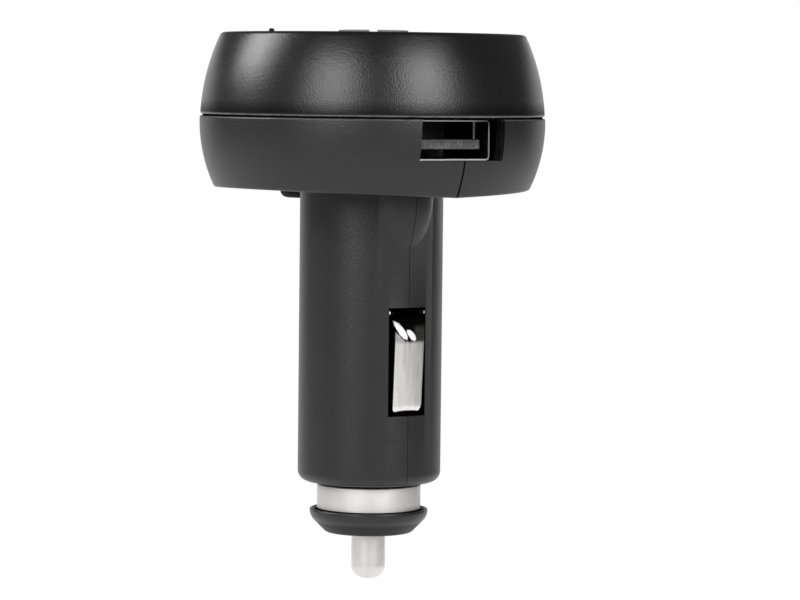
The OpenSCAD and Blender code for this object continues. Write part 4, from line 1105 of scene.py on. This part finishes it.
def makeLeaf(name):
    spine = leafSpine()
    points, faces = [], []
    count = len(leafSection(1))
    for i, at in enumerate(spine):
        before, after = spine[max(i - 1, 0)], spine[min(i + 1, len(spine) - 1)]
        along = (after - before).normalized()
        out = Vector((-along.y, along.x))
        left, right = [cornerCut(at, radius) for radius in leaf["corners"]]
        for x, n in leafSection(contact["width"] - left - right):
            x += (left - right) / 2
            spot = at + out * n
            shift = 0
            if at.y < leaf["crownTop"]:
                shift = crownShift(x, at.y, at.x + contact["thick"] / 2)
            points.append((x, shift - spot.x, spot.y))
        if i:
            a, b = (i - 1) * count, i * count
            faces += [(a + j, a + (j + 1) % count, b + (j + 1) % count, b + j)
                      for j in range(count)]
    faces.append(tuple(range(count - 1, -1, -1)))
    faces.append(tuple(range(len(points) - count, len(points))))
    strip = newPiece(name, points, faces, 50)
    eye = shifted(turned(rod("eye", contact["eye"], -contact["eyeHalf"], contact["eyeHalf"]),
                         90, "Y"), y=-contact["eyeAt"], z=contact["eyeZ"])
    low, high = leaf["ear"]
    ears = [block("ear", low, high, 0.1),
            block("ear", (-high[0], *low[1:]), (-low[0], *high[1:]), 0.1)]
    return join(strip, eye, *ears)


front = makeLeaf("frontSideContact")
rear = turned(copyOf(front, "rearSideContact"), 180)
finished(front, "front_contact", materials["leaf"], "front_side_contact")
finished(rear, "rear_contact", materials["leaf"], "rear_side_contact")
print("side contacts made")

# USB socket
usb = {"half": 6.63, "low": 5.3, "high": 11.02, "sheet": 0.2, "corner": 0.6, "front": -20.9,
       "back": -6.9, "tongueHalf": 5.55, "tongueLow": 6.86, "tongueHigh": 8.26, "tip": -20.1,
       "lip": 0.1, "tab": ((6.28, -17.3, 8.3), (6.53, -17.05, 10.87))}


def shellOutline(inset):
    w, low, high = usb["half"] - inset, usb["low"] + inset, usb["high"] - inset
    r = usb["corner"] - inset
    return rounded([(-w, low, r), (w, low, r), (w, high, r), (-w, high, r)], steps=5)


piece = prism("usbShell", shellOutline(0), "y", usb["front"] - usb["lip"], usb["back"])
cut(piece, prism("usbInside", shellOutline(usb["sheet"]), "y", usb["front"] - 1, usb["back"] + 1))
join(piece, block("usbSideTab", *usb["tab"]))
finished(piece, "housing", materials["shell"], "usb_shell")
piece = block("usbTongue", (-usb["tongueHalf"], usb["tip"], usb["tongueLow"]),
              (usb["tongueHalf"], usb["back"] - 0.4, usb["tongueHigh"]), 0.15)
join(piece, prism("usbBlock", shellOutline(usb["sheet"]), "y", usb["back"] - 2.4, usb["back"]))
finished(piece, "housing", materials["insulator"], "usb_insulator")
print("USB socket made")

# Geometry Nodes: one tree for rows of an item and one for coils of wire
class Tree:
    def __init__(self, name, sizes):
        self.group = bpy.data.node_groups.new(name, "GeometryNodeTree")
        kinds = {float: "NodeSocketFloat", int: "NodeSocketInt", tuple: "NodeSocketVector",
                 "object": "NodeSocketObject", "material": "NodeSocketMaterial"}
        self.sockets = {}
        newSocket = self.group.interface.new_socket
        newSocket("Geometry", in_out="INPUT", socket_type="NodeSocketGeometry")
        for title, kind in sizes.items():
            made = newSocket(title, in_out="INPUT", socket_type=kinds[kind])
            self.sockets[title] = made.identifier
        newSocket("Geometry", in_out="OUTPUT", socket_type="NodeSocketGeometry")
        self.start = self.group.nodes.new("NodeGroupInput").outputs

    def add(self, kind, inputs=None, output=0, **settings):
        node = self.group.nodes.new(kind)
        for key, value in settings.items():
            setattr(node, key, value)
        for key, value in (inputs or {}).items():
            if isinstance(value, bpy.types.NodeSocket):
                self.group.links.new(value, node.inputs[key])
            else:
                node.inputs[key].default_value = value
        return node.outputs[output]

    def math(self, operation, first, second=0.0):
        return self.add("ShaderNodeMath", {0: first, 1: second}, operation=operation)

    def vector(self, operation, inputs):
        return self.add("ShaderNodeVectorMath", inputs, operation=operation)

    def finish(self, geometry):
        real = self.add("GeometryNodeRealizeInstances", {"Geometry": geometry})
        done = self.add("GeometryNodeSetMaterial", {"Geometry": real,
                                                    "Material": self.start["Material"]})
        out = self.group.nodes.new("NodeGroupOutput")
        self.group.links.new(done, out.inputs["Geometry"])
        return self

    # Runs the tree with these sizes and leaves a plain mesh
    def run(self, name, **values):
        host = newPiece(name, [(0, 0, 0)], [])
        step = host.modifiers.new("tree", "NODES")
        step.node_group = self.group
        for title, value in values.items():
            step[self.sockets[title]] = value
        settle(host)
        return host


# Rows of an item: Count along Step, Rows along Next, each row turned by Turn from the last
def rowTree():
    tree = Tree("rows", {"Item": "object", "Material": "material", "Count": int, "Rows": int,
                         "Start": tuple, "Step": tuple, "Next": tuple, "Turn": float})
    start = tree.start
    index = tree.add("GeometryNodeInputIndex")
    along = tree.math("MODULO", index, start["Count"])
    across = tree.math("FLOOR", tree.math("DIVIDE", index, start["Count"]))
    total = tree.math("MULTIPLY", start["Count"], start["Rows"])
    first = tree.vector("SCALE", {0: start["Step"], "Scale": along})
    second = tree.vector("SCALE", {0: start["Next"], "Scale": across})
    spot = tree.vector("ADD", {0: tree.vector("ADD", {0: first, 1: second}), 1: start["Start"]})
    line = tree.add("GeometryNodeMeshLine", {"Count": total})
    line = tree.add("GeometryNodeSetPosition", {"Geometry": line, "Position": spot})
    turn = tree.add("ShaderNodeCombineXYZ", {"Z": tree.math("MULTIPLY", across, start["Turn"])})
    turn = tree.add("FunctionNodeEulerToRotation", {"Euler": turn})
    item = tree.add("GeometryNodeObjectInfo", {"Object": start["Item"]}, "Geometry")
    rows = tree.add("GeometryNodeInstanceOnPoints", {"Points": line, "Instance": item,
                                                     "Rotation": turn})
    return tree.finish(rows)


# A coil of wire whose ends lie flat for a share of its length
def coilTree():
    tree = Tree("coil", {"Material": "material", "Radius": float, "Wire": float, "Turns": float,
                         "Foot": float, "Height": float, "Flat": float})
    start = tree.start
    spiral = tree.add("GeometryNodeCurveSpiral", {
        "Resolution": 40, "Rotations": start["Turns"], "Start Radius": start["Radius"],
        "End Radius": start["Radius"], "Height": 0.0})
    along = tree.add("GeometryNodeSplineParameter", output="Factor")
    climb = tree.add("ShaderNodeMapRange", {
        "Value": along, "From Min": start["Flat"],
        "From Max": tree.math("SUBTRACT", 1.0, start["Flat"]), "To Min": start["Foot"],
        "To Max": tree.math("ADD", start["Foot"], start["Height"])})
    lift = tree.add("ShaderNodeCombineXYZ", {"Z": climb})
    spiral = tree.add("GeometryNodeSetPosition", {"Geometry": spiral, "Offset": lift})
    ring = tree.add("GeometryNodeCurvePrimitiveCircle", {
        "Resolution": 14, "Radius": tree.math("MULTIPLY", start["Wire"], 0.5)})
    wire = tree.add("GeometryNodeCurveToMesh", {"Curve": spiral, "Profile Curve": ring,
                                                "Fill Caps": True})
    return tree.finish(tree.add("GeometryNodeSetShadeSmooth", {"Geometry": wire}))


rows = rowTree()
coil = coilTree()


# Rows of an item whose sizes are in millimetres; the item itself isn't kept
def rowOf(name, item, material, count, lines, start, step, across, turn=0.0):
    made = rows.run(name, Item=item, Material=material, Count=count, Rows=lines,
                    Start=[c * mm for c in start], Step=[c * mm for c in step],
                    Next=[c * mm for c in across], Turn=math.radians(turn))
    bpy.data.objects.remove(item)
    tidyMesh(made)
    return made


spring = {"radius": 2.3, "wire": 0.7, "turns": 6.0, "foot": -14.4, "top": -5.6, "gap": 0.1,
          "flat": 0.125, "fixed": -5.6}
lowest = spring["foot"] + spring["gap"] + spring["wire"] / 2
piece = coil.run("pinSpring", Material=materials["spring"], Radius=spring["radius"] * mm,
                 Wire=spring["wire"] * mm, Turns=spring["turns"], Foot=lowest * mm,
                 Height=(spring["top"] - spring["foot"] - spring["wire"] - 2 * spring["gap"]) * mm,
                 Flat=spring["flat"])
tidyMesh(piece, 60)
finished(piece, "housing", materials["spring"], "pin_spring")
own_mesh(piece)

# The winding: turns of wire over the layers below them
winding = {"at": (-12.0, 3.5), "board": 11.02, "wire": 0.56, "turns": 5, "outer": 4.0,
           "inner": 2.42, "flange": 0.9, "height": 5.6, "gap": 0.12, "layersPast": 0.35}
high = winding["board"] - winding["flange"] - winding["wire"] / 2 - winding["gap"]
low = winding["board"] - winding["height"] + winding["flange"] + winding["wire"] / 2
low += winding["gap"]
piece = coil.run("inductorWinding", Material=materials["copper"], Radius=winding["outer"] * mm,
                 Wire=winding["wire"] * mm, Turns=float(winding["turns"]), Foot=low * mm,
                 Height=(high - low) * mm, Flat=0.0)
shifted(piece, winding["at"][0], winding["at"][1])
tidyMesh(piece, 60)
low, high = low - winding["layersPast"], high + winding["layersPast"]
join(piece, lathe("layers", [(winding["inner"], low), (winding["outer"], low),
                             (winding["outer"], high), (winding["inner"], high)],
                  64, winding["at"]))
finished(piece, "housing", materials["copper"], "inductor_winding")

headers = {"side": 0.64, "foot": 12.62, "top": 15.1, "pitch": 2.54, "row": 6.6, "count": 4}
half = headers["side"] / 2
item = block("headerPin", (-half, -half, headers["foot"]), (half, half, headers["top"]), 0.1)
piece = rowOf("headerPins", item, materials["brass"], headers["count"], 2,
              (-1.5 * headers["pitch"], -headers["row"], 0), (headers["pitch"], 0, 0),
              (0, 2 * headers["row"], 0))
finished(piece, "housing", materials["brass"], "header_pins")

strips = {"half": 0.5, "thick": 0.2, "low": 8.06, "front": -19.3, "legOut": -6.5,
          "legIn": -6.7, "rise": 11.02, "first": -3.5, "near": 2.5, "far": 4.5}
high = strips["low"] + strips["thick"]
path = rounded([(strips["front"], strips["low"]), (strips["legOut"], strips["low"], 0.3),
                (strips["legOut"], strips["rise"]), (strips["legIn"], strips["rise"]),
                (strips["legIn"], high, 0.12), (strips["front"], high, 0.08)])
item = prism("contactStrip", path, "x", -strips["half"], strips["half"])
piece = rowOf("usbContacts", item, materials["brass"], 2, 2, (strips["first"], 0, 0),
              (strips["near"], 0, 0), (strips["far"], 0, 0))
finished(piece, "housing", materials["brass"], "usb_contacts")

chip = {"at": (-9.85, -4.3), "board": 11.02, "long": 4.9, "across": 3.9, "high": 1.5,
        "pitch": 1.27, "lead": 0.4, "leadIn": 0.1, "bendIn": 0.2, "bendOut": 0.4,
        "leadLow": 0.85, "leadHigh": 0.65}
top = chip["board"] - 0.1
side = -chip["across"] / 2
item = prism("chipLead", rounded([
    (side + chip["leadIn"], top - chip["leadLow"]),
    (side - chip["bendOut"], top - chip["leadLow"], 0.15),
    (side - chip["bendOut"], chip["board"]), (side - chip["bendIn"], chip["board"]),
    (side - chip["bendIn"], top - chip["leadHigh"], 0.1),
    (side + chip["leadIn"], top - chip["leadHigh"])]), "x", -chip["lead"] / 2, chip["lead"] / 2)
leads = rowOf("chipLeads", item, materials["display"], 4, 2, (-1.5 * chip["pitch"], 0, 0),
              (chip["pitch"], 0, 0), (0, 0, 0), 180)
shifted(leads, *chip["at"])
body = block("controllerChip", (-chip["long"] / 2, side, chip["board"] - chip["high"]),
             (chip["long"] / 2, -side, top), 0.12)
piece = join(shifted(body, *chip["at"]), leads)
finished(piece, "housing", materials["display"], "controller_chip")
print("rows and coils made")

# What stays as the solids have it, with its finish
inside = {
    "main_board": "board", "display_board": "board", "display_module": "display",
    "inductor_core": "ferrite", "input_capacitor": "can", "output_capacitor": "can",
    "indicator_led": "led", "ground_ring": "brass", "ground_lead": "leadBlack",
    "positive_lead": "leadRed", "spring_terminal": "brass", "fuse_tube": "glass",
    "fuse_caps": "nickel", "fuse_wire": "spring",
}
for node, finishName in inside.items():
    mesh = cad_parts[node].data
    mesh.materials.clear()
    mesh.materials.append(materials[finishName])
print("inner pieces finished")
